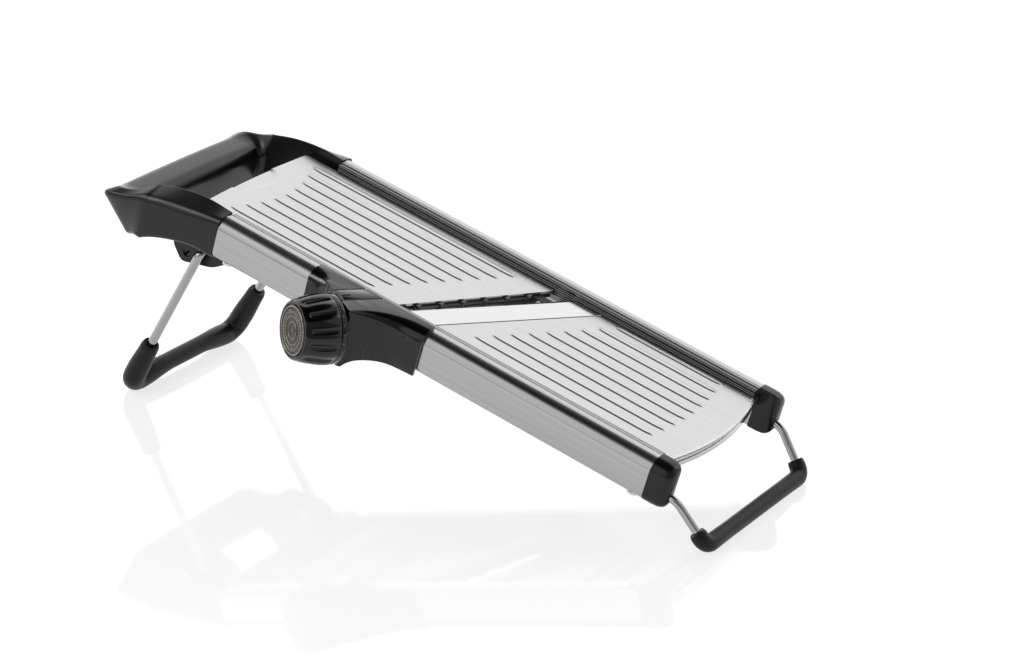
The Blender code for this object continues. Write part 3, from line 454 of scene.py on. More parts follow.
def rail_outline(inset=0.0, top_round=8.0, bottom_round=4.0):
    low, high = RAIL_IN + inset, RAIL_OUT - inset
    return [(low, -inset, 0.6), (high, -inset, top_round - inset),
            (high, inset - RAIL_DEPTH, max(0.8, bottom_round - inset)), (low, inset - RAIL_DEPTH, 0.8)]


def grooved_outline():
    """The rail's outer outline with the fine groove that sets its inner lip off from the top face."""
    return [(RAIL_IN, 0, 0.25), (RAIL_IN + 0.9, 0, 0.12), (RAIL_IN + 1.15, -0.7, 0.1),
            (RAIL_IN + 1.6, -0.7, 0.1), (RAIL_IN + 1.85, 0, 0.12), (RAIL_OUT, 0, 8.0),
            (RAIL_OUT, -RAIL_DEPTH, 4.0), (RAIL_IN, -RAIL_DEPTH, 0.8)]


def make_rails():
    for side, word in sides():
        loops = [side_loop(grooved_outline(), side, 12), side_loop(rail_outline(RAIL_WALL), side, 6)]
        rail = prism(f"{word}_rail_skin", loops, ALONG_U, -RAIL_LENGTH, 0)
        if side < 0:
            cut(rail, rod("tunnel", axis_point(20), axis_at(-40), TUNNEL_R))
        finish_piece(rail, RAIL, "deck", (f"{word}_rail",), 30)


def make_guides():
    """Fine ribs run the length of each guide below a bright lip."""
    for side, word in sides():
        face, pitch, count = GUIDE_IN, 1.35, 5
        corners = [(RAIL_IN - GAP, -0.8), (RAIL_IN - GAP, -GUIDE_DEPTH), (face + 0.6, -GUIDE_DEPTH)]
        low = -GUIDE_DEPTH + 2.6
        for i in range(count):
            for step in range(5):
                share = step / 5
                corners.append((face + 0.7 - 0.7 * math.sin(math.pi * share), low + (i + share) * pitch))
        corners += [(face + 0.9, low + count * pitch), (face + 0.9, -2.2), (face + 0.2, -2.0), (face, -1.5),
                    (face + 0.2, -1.0), (face + 0.6, -0.8)]
        loop = [(x * side, y) for x, y in corners]
        guide = prism(f"{word}_guide_ribbed", [loop], ALONG_U, -RAIL_LENGTH, -GAP)
        finish_piece(guide, GUIDE, "deck", (f"{word}_guide",), 50)


# ---------------------------------------------------------------- handle

HANDLE_END = -RAIL_LENGTH - GAP
HANDLE_TOP = [(-294.5, 1.2), (-311, 1.8), (-329, -0.8), (-345, -5.8)]
HANDLE_SHOULDER = [(-294.5, -0.6), (-321, -6.6), (-342, -10.4), (-360, -16.4), (-377, -25.0)]
HANDLE_BOTTOM = [(-294.5, -25.8), (-309.5, -26.2), (-323, -29.2), (-340, -35.8), (-352, -43.6), (-358, -48)]
CORNER = Vector((-345.0, 50.0))
GRIP_IN, ARM_OUT, TIP_OUT = 5.0, 17.1, 32.6
GRIP_SECTION = [(26.0, -19.3, 3.0), (TIP_OUT, -25.8, 2.2), (12.8, -48.2, 2.2), (4.2, -41.5, 2.5),
                (5.0, -17.2, 8.5)]
TURN_STEPS, TURN_POWER = 28, 10     # the arm's turn into the grip follows a squared-off curve


def lookup(table, u):
    """A smooth curve through the (u, w) pairs of a table that runs towards -u."""
    if u >= table[0][0]:
        return table[0][1]
    if u <= table[-1][0]:
        return table[-1][1]
    slopes = [(b[1] - a[1]) / (b[0] - a[0]) for a, b in zip(table, table[1:])]
    for i, ((u0, w0), (u1, w1)) in enumerate(zip(table, table[1:])):
        if u >= u1:
            start = slopes[i] if i == 0 else (slopes[i - 1] + slopes[i]) / 2
            end = slopes[i] if i == len(slopes) - 1 else (slopes[i] + slopes[i + 1]) / 2
            span, t = u1 - u0, (u - u0) / (u1 - u0)
            return (w0 * (1 + 2 * t) * (1 - t) ** 2 + start * span * t * (1 - t) ** 2
                    + w1 * t * t * (3 - 2 * t) + end * span * t * t * (t - 1))
    return table[-1][1]


def arm_section(u):
    top, shoulder, bottom = (lookup(t, u) for t in (HANDLE_TOP, HANDLE_SHOULDER, HANDLE_BOTTOM))
    return [(GRIP_IN, top, 0.8), (ARM_OUT, shoulder, 4.0), (ARM_OUT, bottom, 2.5),
            (GRIP_IN, bottom, 2.0), (GRIP_IN, (top + bottom) / 2 - 1, 2.0)]


def blend(one, other, t):
    return [tuple(a + (b - a) * t for a, b in zip(p, q)) for p, q in zip(one, other)]


def handle_rings():
    rings = []
    for u in steps(HANDLE_END, CORNER.x + 2.0, 24):
        rings.append([(u, CORNER.y + rho, w) for rho, w in rounded(arm_section(u), 8)])
    for i in range(TURN_STEPS + 1):
        phi = math.pi / 2 * i / TURN_STEPS
        section = blend(arm_section(CORNER.x), GRIP_SECTION, smoothstep(0, 1, i / TURN_STEPS))
        outer = 1 / ((math.cos(phi) / ARM_OUT) ** TURN_POWER
                     + (math.sin(phi) / TIP_OUT) ** TURN_POWER) ** (1 / TURN_POWER)
        stretch = (outer - GRIP_IN) / (max(c[0] for c in section) - GRIP_IN)
        ring = []
        for rho, w in rounded(section, 8):
            if rho > GRIP_IN:
                rho = GRIP_IN + (rho - GRIP_IN) * stretch
            ring.append((CORNER.x - rho * math.sin(phi), CORNER.y + rho * math.cos(phi), w))
        rings.append(ring)
    last = rings[-1]
    for v in steps(44.0, 0.0, 8):
        bow = 0.6 * (1 - (v / 50.0) ** 2)
        rings.append([(u - bow, v, w) for u, _, w in last])
    return rings


def make_handle():
    half = handle_rings()
    near = [[(u, -v, w) for u, v, w in ring] for ring in half]
    handle = loft("handle_shell", near + half[-2::-1])
    floor = box("floor", (-322, -RAIL_IN - 3, -14.5), (HANDLE_END + 0.2, RAIL_IN + 3, -11.5))
    tongue = box("tongue", (-296, -GUIDE_IN + GAP, -14.5), (-284, GUIDE_IN - GAP, -11.5))
    join(handle, floor, tongue)
    finish_piece(handle, SATIN, "deck", ("handle",), 42)


# ---------------------------------------------------------------- end caps, foot and stand

# each ring's place along u, and how far it lies inside the rail's outline
CAP_RINGS = ((GAP, 0.0), (GAP, -0.5), (6.0, -0.5), (9.6, -0.2), (11.8, 0.5), (13.2, 1.6), (13.9, 2.9),
             (CAP_LENGTH, 4.2))


def make_caps():
    for side, word in sides():
        rings = []
        for u, inset in CAP_RINGS:
            room = (RAIL_OUT - RAIL_IN) / 2 - inset
            corners = rail_outline(inset, 8.3, 4.6)
            loop = rounded([(x, y, min(max(t, 1.0), room * 1.25)) for x, y, t in corners], 8)
            rings.append([(u, x * side, y) for x, y in loop])
        cap = loft(f"{word}_end_cap_shell", rings)
        cut(cap, rod("bore", (6, side * FOOT_V, WIRE_W), (20, side * FOOT_V, WIRE_W), FOOT_WIRE_R + GAP))
        finish_piece(cap, CAP, "deck", (f"{word}_end_cap",), 40)


def foot_path():
    half = [(Vector((1.0, FOOT_V, WIRE_W)), 0), (Vector((17.5, FOOT_V, WIRE_W)), 5),
            (Vector((FOOT_BAR[0], FOOT_V * FOOT_NARROW, FOOT_BAR[1])), 5.5)]
    near = [(Vector((p.x, -p.y, p.z)), t) for p, t in half]
    return rounded_path(near + half[::-1], 12)


def flatten_sole(obj):
    """Press a sleeve flat where it meets the ground."""
    bpy.context.view_layer.update()
    inverse = DECK_MM.inverted()
    for vert in obj.data.vertices:
        spot = DECK_MM @ vert.co
        if spot.z < 0:
            vert.co = inverse @ Vector((spot.x, spot.y, 0))


def resample(path, spacing):
    """The same path with a point about every so many millimetres."""
    points = [path[0]]
    for one, other in zip(path, path[1:]):
        count = max(1, round((other - one).length / spacing))
        points += [one.lerp(other, (i + 1) / count) for i in range(count)]
    return points


def sleeve(name, route, radius, swell, bore):
    """A moulded sleeve with rounded lips, swollen by swell(point), open round the wire."""
    route = resample(route, 2.2)
    radii = [swell(p) for p in route]
    for i, share in ((0, 0.86), (1, 0.99)):
        radii[i] *= share
        radii[-1 - i] *= share
    made = tube(name, route, radius, radii, 7)
    flatten_sole(made)
    lips = [rod("lip", a + (a - b).normalized() * 1.0, a + (b - a).normalized() * 2.6, bore)
            for a, b in ((route[0], route[2]), (route[-1], route[-3]))]
    return cut(made, *lips)


def make_foot():
    path = foot_path()
    wire = tube("front_foot_wire_round", path, FOOT_WIRE_R, None, 7)
    finish_piece(wire, CHROME, "deck", ("front_foot_wire",))
    covered = [p for p in path if p.z < WIRE_W - 12]
    first = path[path.index(covered[0]) - 1]
    start = covered[0] + (first - covered[0]).normalized() * 3.5
    route = [start] + covered + [Vector((start.x, -start.y, start.z))]
    grip = sleeve("front_foot_sleeve_moulded", route, FOOT_SLEEVE_R,
                  lambda p: 1.0 - 0.05 * (1 - smoothstep(30, 52, abs(p.y))), FOOT_WIRE_R + GAP)
    finish_piece(grip, RUBBER, "deck", ("front_foot_sleeve",), 45)


def stand_point(along):
    down = Vector((-math.sin(STAND_LEAN), 0, -math.cos(STAND_LEAN)))
    return STAND_PIVOT + down * along


def stand_path(count):
    half = [(stand_point(0), 0, STAND_TOP_V - 13.5), (stand_point(0), 4.5, STAND_TOP_V),
            (stand_point(STAND_LEG), 9.0, STAND_FOOT_V)]
    near = [(Vector((p.x, -v, p.z)), t) for p, t, v in half]
    far = [(Vector((p.x, v, p.z)), t) for p, t, v in reversed(half)]
    rise = stand_point(STAND_LEG - BAR_ARCH)
    middle = [(Vector((rise.x, v, rise.z)), 7) for v in (-20.0, 20.0)]
    return rounded_path(near + middle + far, count)


def make_stand():
    path = stand_path(12)
    wire = tube("rear_stand_wire_round", path, WIRE_R, None, 7)
    finish_piece(wire, CHROME, "rear_stand", ("rear_stand_wire",))
    limit = stand_point(STAND_KNEE + 6).z
    start = stand_point(STAND_KNEE)
    knee_v = STAND_TOP_V + (STAND_FOOT_V - STAND_TOP_V) * STAND_KNEE / STAND_LEG
    covered = [p for p in path if p.z < limit]
    route = [Vector((start.x, -knee_v, start.z))] + covered + [Vector((start.x, knee_v, start.z))]
    leg_end = stand_point(STAND_LEG - 14).z

    def swell(p):
        foot = smoothstep(14, 40, abs(p.y)) * (1 - smoothstep(leg_end, leg_end + 18, p.z))
        return 0.95 + (FOOT_SWELL - 0.95) * foot + 0.05 * smoothstep(leg_end, leg_end + 18, p.z)

    rubber = sleeve("rear_stand_sleeve_moulded", route, SLEEVE_R, swell, WIRE_R + GAP)
    finish_piece(rubber, RUBBER, "rear_stand", ("rear_stand_sleeve",), 45)


# ---------------------------------------------------------------- plates

def run_edge(v):
    return RUN_EDGE_MID + RUN_EDGE_SLOPE * v


def blade_edge(v, back=0.0):
    return BLADE_EDGE_MID + BLADE_SLOPE * v + back


def discharge_end(v):
    return ARC_BULGE * (1 - (v / 56.0) ** 2)


def rib_relief(u, v, ribs):
    """The height of the pressed ribs: soft-shouldered ridges whose ends taper out."""
    for centre, start, end in ribs:
        inside = min(u - start, end - u)
        if abs(v - centre) < RIB_HALF + RIB_FLANK and inside > 0:
            nose = 1 - min(1.0, inside / RIB_NOSE)
            half = RIB_HALF * math.sqrt(1 - nose * nose)
            low = min(1.0, inside / 1.5)
            return RIB_HEIGHT * low * smoothstep(-RIB_FLANK / 2, RIB_FLANK / 2, half - abs(v - centre))
    return 0.0


def pressed_sheet(name, outline, ribs, relief, thick):
    """A sheet cut to an outline, with ribs and other relief pressed up through it."""
    us = [p[0] for p in outline]
    low_u, high_u = min(us) - 2, max(us) + 2
    across = {-PLATE_HALF - 3, PLATE_HALF + 3}
    for centre, _, _ in ribs:
        reach = RIB_HALF + RIB_FLANK / 2
        across |= {round(centre + reach * share / 10, 4) for share in range(-10, 11)}
    marks = sorted(across)
    vs = []
    for one, other in zip(marks, marks[1:]):
        parts = max(1, round((other - one) / 1.5))
        vs += [one + (other - one) * i / parts for i in range(parts)]
    vs.append(marks[-1])
    grid_u = steps(low_u, high_u, round((high_u - low_u) / 1.1))
    work = bmesh.new()
    tops, bottoms = [], []
    for u in grid_u:
        lift = [PLATE_TOP + relief(u, v) + rib_relief(u, v, ribs) for v in vs]
        tops.append([work.verts.new((u, v, w)) for v, w in zip(vs, lift)])
        bottoms.append([work.verts.new((u, v, w - thick)) for v, w in zip(vs, lift)])
    rows, columns = len(grid_u), len(vs)
    for i in range(rows - 1):
        for j in range(columns - 1):
            work.faces.new((tops[i][j], tops[i + 1][j], tops[i + 1][j + 1], tops[i][j + 1]))
            work.faces.new((bottoms[i][j], bottoms[i][j + 1], bottoms[i + 1][j + 1], bottoms[i + 1][j]))
    rim = [(i, 0) for i in range(rows)] + [(rows - 1, j) for j in range(1, columns)]
    rim += [(i, columns - 1) for i in range(rows - 2, -1, -1)] + [(0, j) for j in range(columns - 2, 0, -1)]
    for (a, b), (c, d) in zip(rim, rim[1:] + rim[:1]):
        work.faces.new((tops[a][b], bottoms[a][b], bottoms[c][d], tops[c][d]))
    bmesh.ops.recalc_face_normals(work, faces=work.faces)
    sheet = mesh_object(name, work)
    return boolean(sheet, "INTERSECT", prism("trim", [outline], ALONG_W, PLATE_TOP - 4, PLATE_TOP + 4))


def rib_start(v):
    return RUN_RIB_START + 9.5 * math.cos(math.radians(90) * min(1.0, abs(v) / 40.0))


def thumb_relief(u, v):
    """A shallow thumb recess: a crescent pressed down at the middle of the plate's top end."""
    across = (v - THUMB_V) / THUMB_HALF
    if abs(across) >= 1:
        return 0.0
    edge = RUN_PLATE_END + THUMB_REACH * math.sqrt(1 - across * across)
    return -THUMB_DEPTH * (1 - smoothstep(edge - 0.8, edge + 0.4, u))


def make_run_plate():
    half = PLATE_HALF
    outline = rounded([(RUN_PLATE_END + 2.4, -half, 3), (run_edge(-half), -half, 2),
                       (run_edge(half), half, 4), (RUN_PLATE_END + 2.4, half, 3), (RUN_PLATE_END, 0, 30)], 10)
    ribs = []
    for i in range(RUN_RIBS):
        v = (i - (RUN_RIBS - 1) / 2) * RIB_PITCH
        ribs.append((v, rib_start(v), RUN_RIB_END + RUN_RIB_SLOPE * v))
    plate = pressed_sheet("run_plate_pressed", outline, ribs, thumb_relief, PLATE_THICK)
    finish_piece(plate, PLATE, "run_plate", ("run_plate",), 30)


# the discharge plate's turned-down edge: how far behind its end, and how far below its top
SKIRT_SECTION = ((1.4, 1.7), (0.5, 1.0), (0.0, 1.9), (0.0, 7.3), (0.3, 7.6), (1.1, 7.6), (1.4, 7.3))


def make_discharge_plate():
    half = GUIDE_IN - 0.7
    start = blade_edge(0, BLADE_WIDTH_U) + 1.0
    bow = [(discharge_end(v), v) for v in steps(-half, half, 40)]
    outline = [(start - BLADE_SLOPE * half, -half), *bow, (start + BLADE_SLOPE * half, half)]
    ribs = []
    for i in range(DISCHARGE_RIBS):
        v = (i - (DISCHARGE_RIBS - 1) / 2) * RIB_PITCH
        ribs.append((v, DISCHARGE_RIB_START + BLADE_SLOPE * v, discharge_end(v) - DISCHARGE_RIB_END))

    def rolled_edge(u, v):
        inside = discharge_end(v) - u
        return -0.9 * (1 - smoothstep(0.0, 1.6, inside)) - 0.18 * math.exp(-((inside - 2.3) / 0.35) ** 2)

    plate = pressed_sheet("discharge_plate_pressed", outline, ribs, rolled_edge, PLATE_THICK)
    finish_piece(plate, PLATE, "deck", ("discharge_plate",), 40)
    rings = []
    for v in steps(-half, half, 48):
        end = discharge_end(v)
        rings.append([(end - back, v, PLATE_TOP - down) for back, down in SKIRT_SECTION])
    skirt = loft("discharge_skirt", rings)
    finish_piece(skirt, BLADE, "deck", (), 50)


def make_blade():
    """The blade's ground bevel faces the run plate, and its body lies level with the lower plate."""
    half = GUIDE_IN - 1.2
    top, bottom = PLATE_TOP, PLATE_TOP - BLADE_THICK
    rings = []
    for v in (-half, half):
        section = ((0.0, bottom + 0.12), (0.2, bottom), (BLADE_WIDTH_U, bottom), (BLADE_WIDTH_U, top - 0.2),
                   (BLADE_WIDTH_U - 0.25, top), (3.4, top))
        rings.append([(blade_edge(v, back), v, w) for back, w in section])
    blade = loft("main_blade_ground", rings)
    finish_piece(blade, BLADE, "deck", ("main_blade",), 12)


# ---------------------------------------------------------------- thickness adjuster

HOUSING_INNER = -57.8           # its edge beside the plates
BLOCK_LEFT, BLOCK_RIGHT = -19.2, 11.6       # the block's corners, across the knob's axis
INDEX_LINES = (-10.4, 0.3)      # the index strip lies between two fine grooves, across the axis


def flat(point):
    return Vector((point.x, point.y))


def block_corner(across):
    return flat(axis_point(HOUSING_FACE) + AXIS_SIDE * across)


def housing_outline():
    left, right = block_corner(BLOCK_LEFT), block_corner(BLOCK_RIGHT)
    return [(-228.5, HOUSING_INNER, 0.3), (-229.5, -68.9, 1), (-222.0, -69.4, 5), (left.x, left.y, 1.5),
            (right.x, right.y, 2), (-173.0, -71.5, 14), (-150.0, -69.3, 0.3), (-150.0, HOUSING_INNER, 0.3)]


def fillet_cutter(path, radii):
    """What a rounding of changing radius takes off the housing's top edge along a path in (u, v)."""
    rings = []
    for i, (point, radius) in enumerate(zip(path, radii)):
        along = (path[min(i + 1, len(path) - 1)] - path[max(i - 1, 0)]).normalized()
        out = Vector((along.y, -along.x))
        ring = [(*(point + out * 4), HOUSING_TOP - radius), (*(point + out * 4), HOUSING_TOP + 4),
                (*(point - out * radius), HOUSING_TOP + 4)]
        for step in range(9):
            angle = math.pi / 2 * step / 8
            spot = point - out * (radius - radius * math.sin(angle))
            ring.append((*spot, HOUSING_TOP - radius + radius * math.cos(angle)))
        rings.append(ring)
    return loft("fillet_cutter", rings)


def housing_edge():
    """The outer top edge: along the rail, round the block and back to the rail, with its rounding."""
    left, right = block_corner(BLOCK_LEFT), block_corner(BLOCK_RIGHT)
    leaving, turning = Vector((-222.0, -69.4)), Vector((-173.0, -71.5))
    first = [Vector((-231.0, -68.9)), leaving, left.lerp(leaving, 0.15)]
    bend = arc(turning, (right - turning).normalized() * 14, Vector((23.0, 2.2)).normalized() * 14, 12)
    second = [right.lerp(bend[0], t) for t in (0.08, 0.3, 0.55, 0.8)] + bend + [Vector((-148.0, -69.2))]
    return first, second


def make_housing():
    outline = rounded(housing_outline(), 10)
    housing = prism("adjuster_housing_shell", [outline], ALONG_W, HOUSING_LOW, HOUSING_TOP)
    first, second = housing_edge()
    count = len(second) - 1
    cut(housing, fillet_cutter(first, [8.6, 8.0, 5.0]))
    cut(housing, fillet_cutter(second, [1.2 + 7.6 * (i / count) ** 0.8 for i in range(count + 1)]))
    rail = side_loop([(HOUSING_REACH, GAP, 0.5), (RAIL_OUT + GAP, GAP, 8.2), (RAIL_OUT + GAP, -60, 0.5),
                      (HOUSING_REACH, -60, 0.5)], -1, 12)
    envelope = prism("envelope", [rail], ALONG_U, -260, -120)
    below = rounded([(-145, -26.5, 0.5), (-172, -26.5, 8), (-186, -31.0, 6), (-196, -60, 0.5),
                     (-145, -60, 0.5)], 12)
    under = prism("under", [below], ALONG_V, 40, 130)
    cut(housing, under, envelope, rod("tunnel", axis_point(20), axis_at(-40), TUNNEL_R))
    for across in INDEX_LINES:
        start = axis_point(HOUSING_FACE - 2) + AXIS_SIDE * across
        end = start + AXIS_DIR * 40
        lift = Vector((0, 0, HOUSING_TOP + 0.1 - AXIS_W))
        cut(housing, rod("groove", start + lift, end + lift, 0.5, 12))
    bevel(housing, 0.35, 3, 40)
    finish_piece(housing, GLOSS, "deck", ("adjuster_housing",), 32)
    low, high = INDEX_LINES
    centre = axis_point(HOUSING_FACE) + Vector((0, 0, HOUSING_TOP - AXIS_W))
    corners = ((low + 0.8, 2.0), (high - 0.8, 2.0), (high - 0.8, 24.0), (low + 0.8, 18.0))
    loop = [flat(centre + AXIS_SIDE * x + AXIS_DIR * y) for x, y in corners]
    strip = prism("index_strip_inlay", [loop], ALONG_W, HOUSING_TOP - 0.1, HOUSING_TOP + 0.12)
    bevel(strip, 0.06, 2)
    finish_piece(strip, GLOSS, "deck", ("index_strip",))
    spot = centre - AXIS_SIDE * 4.5 + Vector((0, 0, 0.1))
    mark = tube("index_mark", [spot + AXIS_DIR * 2.6, spot + AXIS_DIR * 7.6], 0.5, None, 3)
    finish_piece(mark, INNER, "deck", ())


def make_knob():
    def ripple(radius, depth, angle):
        """Panels between the grooves are very slightly crowned."""
        turn = (angle * KNOB_FLUTES / (2 * math.pi)) % 1.0
        crown = 0.35 * math.cos(2 * math.pi * (turn - 0.5))
        body = smoothstep(0.8, 2.5, depth) * (1 - smoothstep(KNOB_LENGTH - 4.5, KNOB_LENGTH - 2.5, depth))
        return crown * body if radius > 16 else 0.0

    body = [(KNOB_FRONT_R - 0.2 + (KNOB_REAR_R - KNOB_FRONT_R - 0.1) * math.sin(math.radians(105) * i / 16),
             1.8 + (KNOB_LENGTH - 5.8) * i / 16) for i in range(17)]
    profile = [(0, 0.8), (14.75, 0.8), (14.95, 0.3), (15.4, 0.0), (16.2, 0.15), (16.7, 0.8), *body,
               (KNOB_REAR_R - 0.7, KNOB_LENGTH - 3.6), (KNOB_REAR_R - 0.9, KNOB_LENGTH - 3.3),
               (KNOB_REAR_R - 0.5, KNOB_LENGTH - 3.0), (KNOB_REAR_R - 0.35, KNOB_LENGTH - 1.2),
               (KNOB_REAR_R - 0.5, KNOB_LENGTH - 0.3), (KNOB_REAR_R - 1.4, KNOB_LENGTH), (16.0, KNOB_LENGTH),
               (15.0, KNOB_LENGTH - 12), (6.0, KNOB_LENGTH - 12), (6.0, KNOB_LENGTH - 1),
               (0, KNOB_LENGTH - 1)]
    knob = lathe("thickness_knob_fluted", profile, KNOB_FACE, 144, ripple)
    grooves = []
    for i in range(KNOB_FLUTES):
        angle = 2 * math.pi * i / KNOB_FLUTES
        out = AXIS_SIDE * math.cos(angle) + Vector((0, 0, math.sin(angle)))
        start = axis_point(4.6) + out * (KNOB_FRONT_R + 1.6)
        end = axis_point(KNOB_LENGTH - 6.8) + out * (KNOB_REAR_R + 0.9)
        grooves.append(capsule(start, end, 2.4))
    for groove in grooves:
        cut(knob, groove)
    cut(knob, rod("bore", axis_point(-3), axis_point(40), 2.3))
    finish_piece(knob, GLOSS, "knob", ("thickness_knob",), 32)


GROOVES = (8.6, 12.3, 13.1)                             # radii of the face's grooves
RAISED_RINGS = ((13.1, 13.9), (8.0, 8.5), (4.6, 5.0))   # inner and outer radii


def capsule(start, end, radius):
    """A bar with round ends, for a groove that runs out smoothly."""
    along = (end - start).normalized()
    path, radii = [], []
    for i in range(7):
        angle = math.pi / 2 * i / 6
        path.append(start - along * radius * math.cos(angle))
        radii.append(max(0.02, math.sin(angle)))
    for i in range(7):
        angle = math.pi / 2 * i / 6
        path.append(end + along * radius * math.sin(angle))
        radii.append(max(0.02, math.cos(angle)))
    return tube("capsule", path, radius, radii, 5)


def make_knob_face():
    """A turned metal disc with fine rings, a band of short radial bars and three raised rings."""
    profile = [(0, 0.05)]
    for i in range(1, 113):
        r = 14.0 * i / 112
        ring = 0.09 * math.cos(2 * math.pi * r / 0.7) if 1.5 < r < 7.8 else 0.0
        grooves = sum(0.35 * math.exp(-((r - at) / 0.22) ** 2) for at in GROOVES)
        profile.append((r, ring + grooves - 0.1))
    profile += [(14.35, 0.25), (14.35, 0.5), (0, 0.5)]

    disc = lathe("knob_face_turned", [(r, max(-0.3, d)) for r, d in profile], KNOB_FACE, 96)
    finish_piece(disc, KNOB_METAL, "knob", ("knob_face",), 60)
    work = bmesh.new()
    for i in range(KNOB_BARS):
        angle = 2 * math.pi * i / KNOB_BARS
        out = AXIS_SIDE * math.cos(angle) + Vector((0, 0, math.sin(angle)))
        turn = Matrix((out, out.cross(AXIS_DIR), AXIS_DIR)).transposed().to_4x4()
        length = 1.9 if i % 4 else 1.1
        place = Matrix.Translation(KNOB_FACE + out * KNOB_BAR_R - AXIS_DIR * 0.15) @ turn
        bmesh.ops.create_cube(work, size=1.0, matrix=place @ Matrix.Diagonal((length, 0.75, 0.3, 1.0)))
    bars = mesh_object("knob_face_bars", work)
    finish_piece(bars, KNOB_LIGHT, "knob", ())
    for i, (inner, outer) in enumerate(RAISED_RINGS):
        section = [(inner, 0.2), (inner, -0.22), (inner + 0.1, -0.3), (outer - 0.1, -0.3), (outer, -0.22),
                   (outer, 0.2), (inner, 0.2)]
        ring = lathe(f"knob_face_ring_{i}", section, KNOB_FACE, 96)
        finish_piece(ring, KNOB_LIGHT, "knob", ())


def make_scale_ring():
    """The fixed ring between the knob and the housing."""
    start, end = KNOB_LENGTH + 0.3, HOUSING_FACE - 0.3
    section = [(6.0, start), (18.2, start), (18.6, start + 0.15), (18.6, HOUSING_FACE - 0.45), (18.2, end),
               (6.0, end), (6.0, start)]
    ring = lathe("scale_ring_turned", section, KNOB_FACE, 96)
    finish_piece(ring, SATIN, "deck", ("scale_ring",))


def make_ticks():
    """An even scale on the knob's rear rim: short gray bars, every third one longer."""
    work = bmesh.new()
    for i in range(RIM_TICKS):
        angle = 2 * math.pi * (i + 0.5) / RIM_TICKS
        length = 1.2 if i % 3 == 0 else 0.7
        out = AXIS_SIDE * math.cos(angle) + Vector((0, 0, math.sin(angle)))
        across = out.cross(AXIS_DIR)
        centre = axis_point(KNOB_LENGTH - 2.1) + out * (KNOB_REAR_R - 0.42)
        turn = Matrix((across, AXIS_DIR, out)).transposed().to_4x4()
        size = Matrix.Diagonal((0.32, length, 0.1, 1.0))
        bmesh.ops.create_cube(work, size=1.0, matrix=Matrix.Translation(centre) @ turn @ size)
    ticks = mesh_object("scale_ticks", work)
    finish_piece(ticks, MARK, "knob", ())


# ---------------------------------------------------------------- CAD nodes that keep their shape

CAD_LOOKS = {
    RAIL: ("upper_tie", "lower_tie", "front_tie", "blade_bed"),
    COMB: ("julienne_comb",),
    CHROME: ("plate_hinge_rod", "adjuster_shaft"),
    SCREWS: ("handle_screw_near", "handle_screw_far", "cap_screw_near", "cap_screw_far", "lug_screw_near",
             "lug_screw_far", "blade_screw_near", "blade_screw_far", "knob_screw"),
    INNER: ("run_plate_carrier", "plate_hinge_near", "plate_hinge_far", "julienne_bar", "lift_cam_near",
            "lift_cam_far", "shaft_bush", "far_bearing"),
    SATIN: ("stand_lug_near", "stand_lug_far"),
}
SOFTENED = {"stand_lug_near": 0.8, "stand_lug_far": 0.8, "upper_tie": 0.3, "lower_tie": 0.3, "front_tie": 0.3,
            "run_plate_carrier": 0.3, "far_bearing": 0.4, "blade_bed": 0.2}


def dress_cad():
    for look, names in CAD_LOOKS.items():
        for name in names:
            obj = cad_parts[name]
            obj.data.materials.clear()
            obj.data.materials.append(look)
            if name in SOFTENED:
                weld = obj.modifiers.new("weld", "WELD")
                weld.merge_threshold = 0.00001
                edges = obj.modifiers.new("edges", "BEVEL")
                edges.width = SOFTENED[name] * MM
                edges.segments = 2
                edges.angle_limit = math.radians(50)


# ---------------------------------------------------------------- stage

CAMERA_AT = (0.93181, -1.44527, 0.75836)
CAMERA_TURN = (68.199, -1.008, 31.813)      # degrees about X, Y and Z
CAMERA_LENS = 116.3


def make_camera():
    data = bpy.data.cameras.new("camera")
    data.lens = CAMERA_LENS
    data.sensor_width = 36.0
    camera = link(bpy.data.objects.new("camera", data))
    camera.location = CAMERA_AT
    camera.rotation_euler = [math.radians(a) for a in CAMERA_TURN]
    bpy.context.scene.camera = camera


def make_floor():
    work = bmesh.new()
    bmesh.ops.create_grid(work, x_segments=1, y_segments=1, size=6.0)
    floor = mesh_object("floor", work)
    floor.location.z = -0.0002
    white = Nodes("floor_white", (0.25, 0.25, 0.25), 0.0, 0.05, specular_ior_level=0.32)
    white.set(emission_color=(1, 1, 1, 1), emission_strength=0.76)
    floor.data.materials.append(white.material)


SOFTBOXES = (
    # direction, strength, cosine where it ends, cosine where it is full
    ((-0.35, 0.80, 0.49), 1.25, 0.50, 0.70),
    ((-0.24, -0.82, 0.52), 0.80, 0.84, 0.93),
    ((-0.88, -0.25, 0.40), 0.80, 0.88, 0.94),
    ((0.75, 0.45, 0.48), 0.50, 0.75, 0.88),
)
AMBIENT = 0.30
GAP_LOW, GAP_HIGH, GAP_LEVEL = 0.77, 0.87, 0.06    # the dark gap overhead, by the direction's height
GAP_TINT = (0.80, 0.93, 1.0, 1.0)


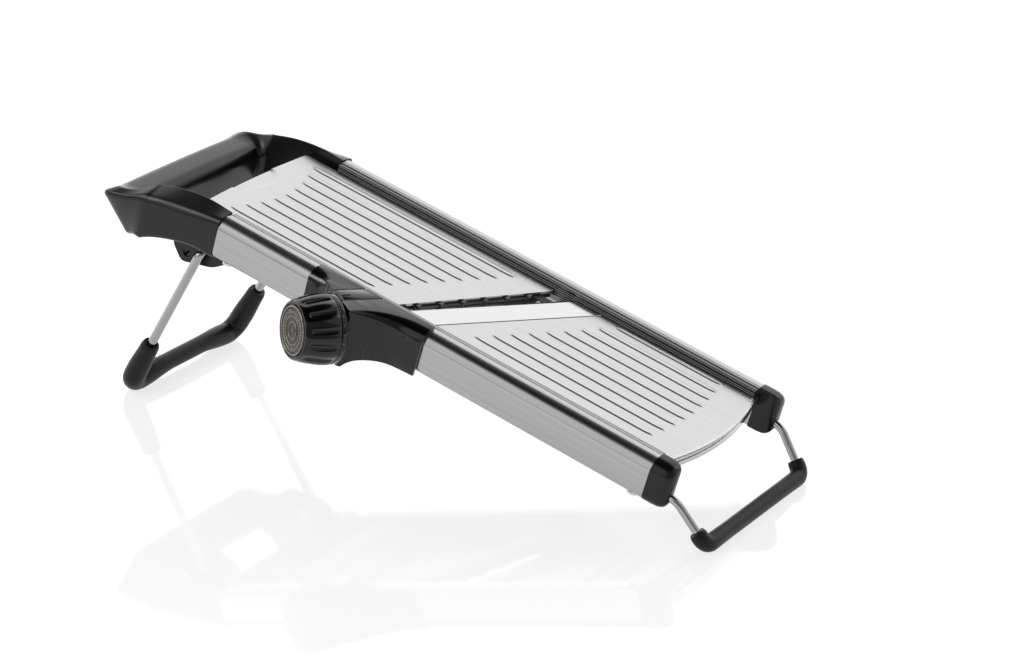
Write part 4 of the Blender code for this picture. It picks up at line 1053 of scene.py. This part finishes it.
def make_world():
    """A gray studio with large softboxes round the object and a dark gap overhead."""
    world = bpy.data.worlds.new("studio")
    bpy.context.scene.world = world
    world.use_nodes = True
    nodes, links = world.node_tree.nodes, world.node_tree.links

    def math_node(operation, one, other):
        made = nodes.new("ShaderNodeMath")
        made.operation = operation
        for socket, value in zip(made.inputs, (one, other)):
            if isinstance(value, float):
                socket.default_value = value
            else:
                links.new(value, socket)
        return made.outputs[0]

    def smooth(value, low, high, start, end):
        made = nodes.new("ShaderNodeMapRange")
        made.interpolation_type = "SMOOTHSTEP"
        links.new(value, made.inputs["Value"])
        for name, number in (("From Min", low), ("From Max", high), ("To Min", start), ("To Max", end)):
            made.inputs[name].default_value = number
        return made.outputs["Result"]

    coords = nodes.new("ShaderNodeTexCoord").outputs["Generated"]
    split = nodes.new("ShaderNodeSeparateXYZ")
    links.new(coords, split.inputs["Vector"])
    level = AMBIENT
    for direction, strength, edge, full in SOFTBOXES:
        dot = nodes.new("ShaderNodeVectorMath")
        dot.operation = "DOT_PRODUCT"
        links.new(coords, dot.inputs[0])
        dot.inputs[1].default_value = Vector(direction).normalized()
        level = math_node("ADD", level, smooth(dot.outputs["Value"], edge, full, 0.0, strength))
    level = math_node("MULTIPLY", level, smooth(split.outputs["Z"], GAP_LOW, GAP_HIGH, 1.0, GAP_LEVEL))
    links.new(level, nodes["Background"].inputs["Strength"])
    tint = nodes.new("ShaderNodeMix")
    tint.data_type = "RGBA"
    tint.inputs["A"].default_value = (1, 1, 1, 1)
    tint.inputs["B"].default_value = GAP_TINT
    links.new(smooth(split.outputs["Z"], GAP_LOW, GAP_HIGH, 0.0, 1.0), tint.inputs["Factor"])
    links.new(tint.outputs["Result"], nodes["Background"].inputs["Color"])


KEY_AT, KEY_AIM, KEY_SIZE, KEY_POWER = (-1.1, -0.9, 1.1), (0, 0, 0.08), 0.5, 5.0


def make_light():
    data = bpy.data.lights.new("key_softbox", "AREA")
    data.shape = "RECTANGLE"
    data.size = data.size_y = KEY_SIZE
    data.energy = KEY_POWER
    lamp = link(bpy.data.objects.new("key_softbox", data))
    lamp.location = KEY_AT
    lamp.rotation_euler = (Vector(KEY_AIM) - Vector(KEY_AT)).to_track_quat("-Z", "Y").to_euler()


bpy.context.scene.view_settings.view_transform = "Standard"
make_camera()
make_world()
make_light()
make_floor()
make_rails()
make_guides()
make_handle()
make_caps()
make_foot()
make_stand()
make_run_plate()
make_discharge_plate()
make_blade()
make_housing()
make_knob()
make_knob_face()
make_scale_ring()
make_ticks()
dress_cad()
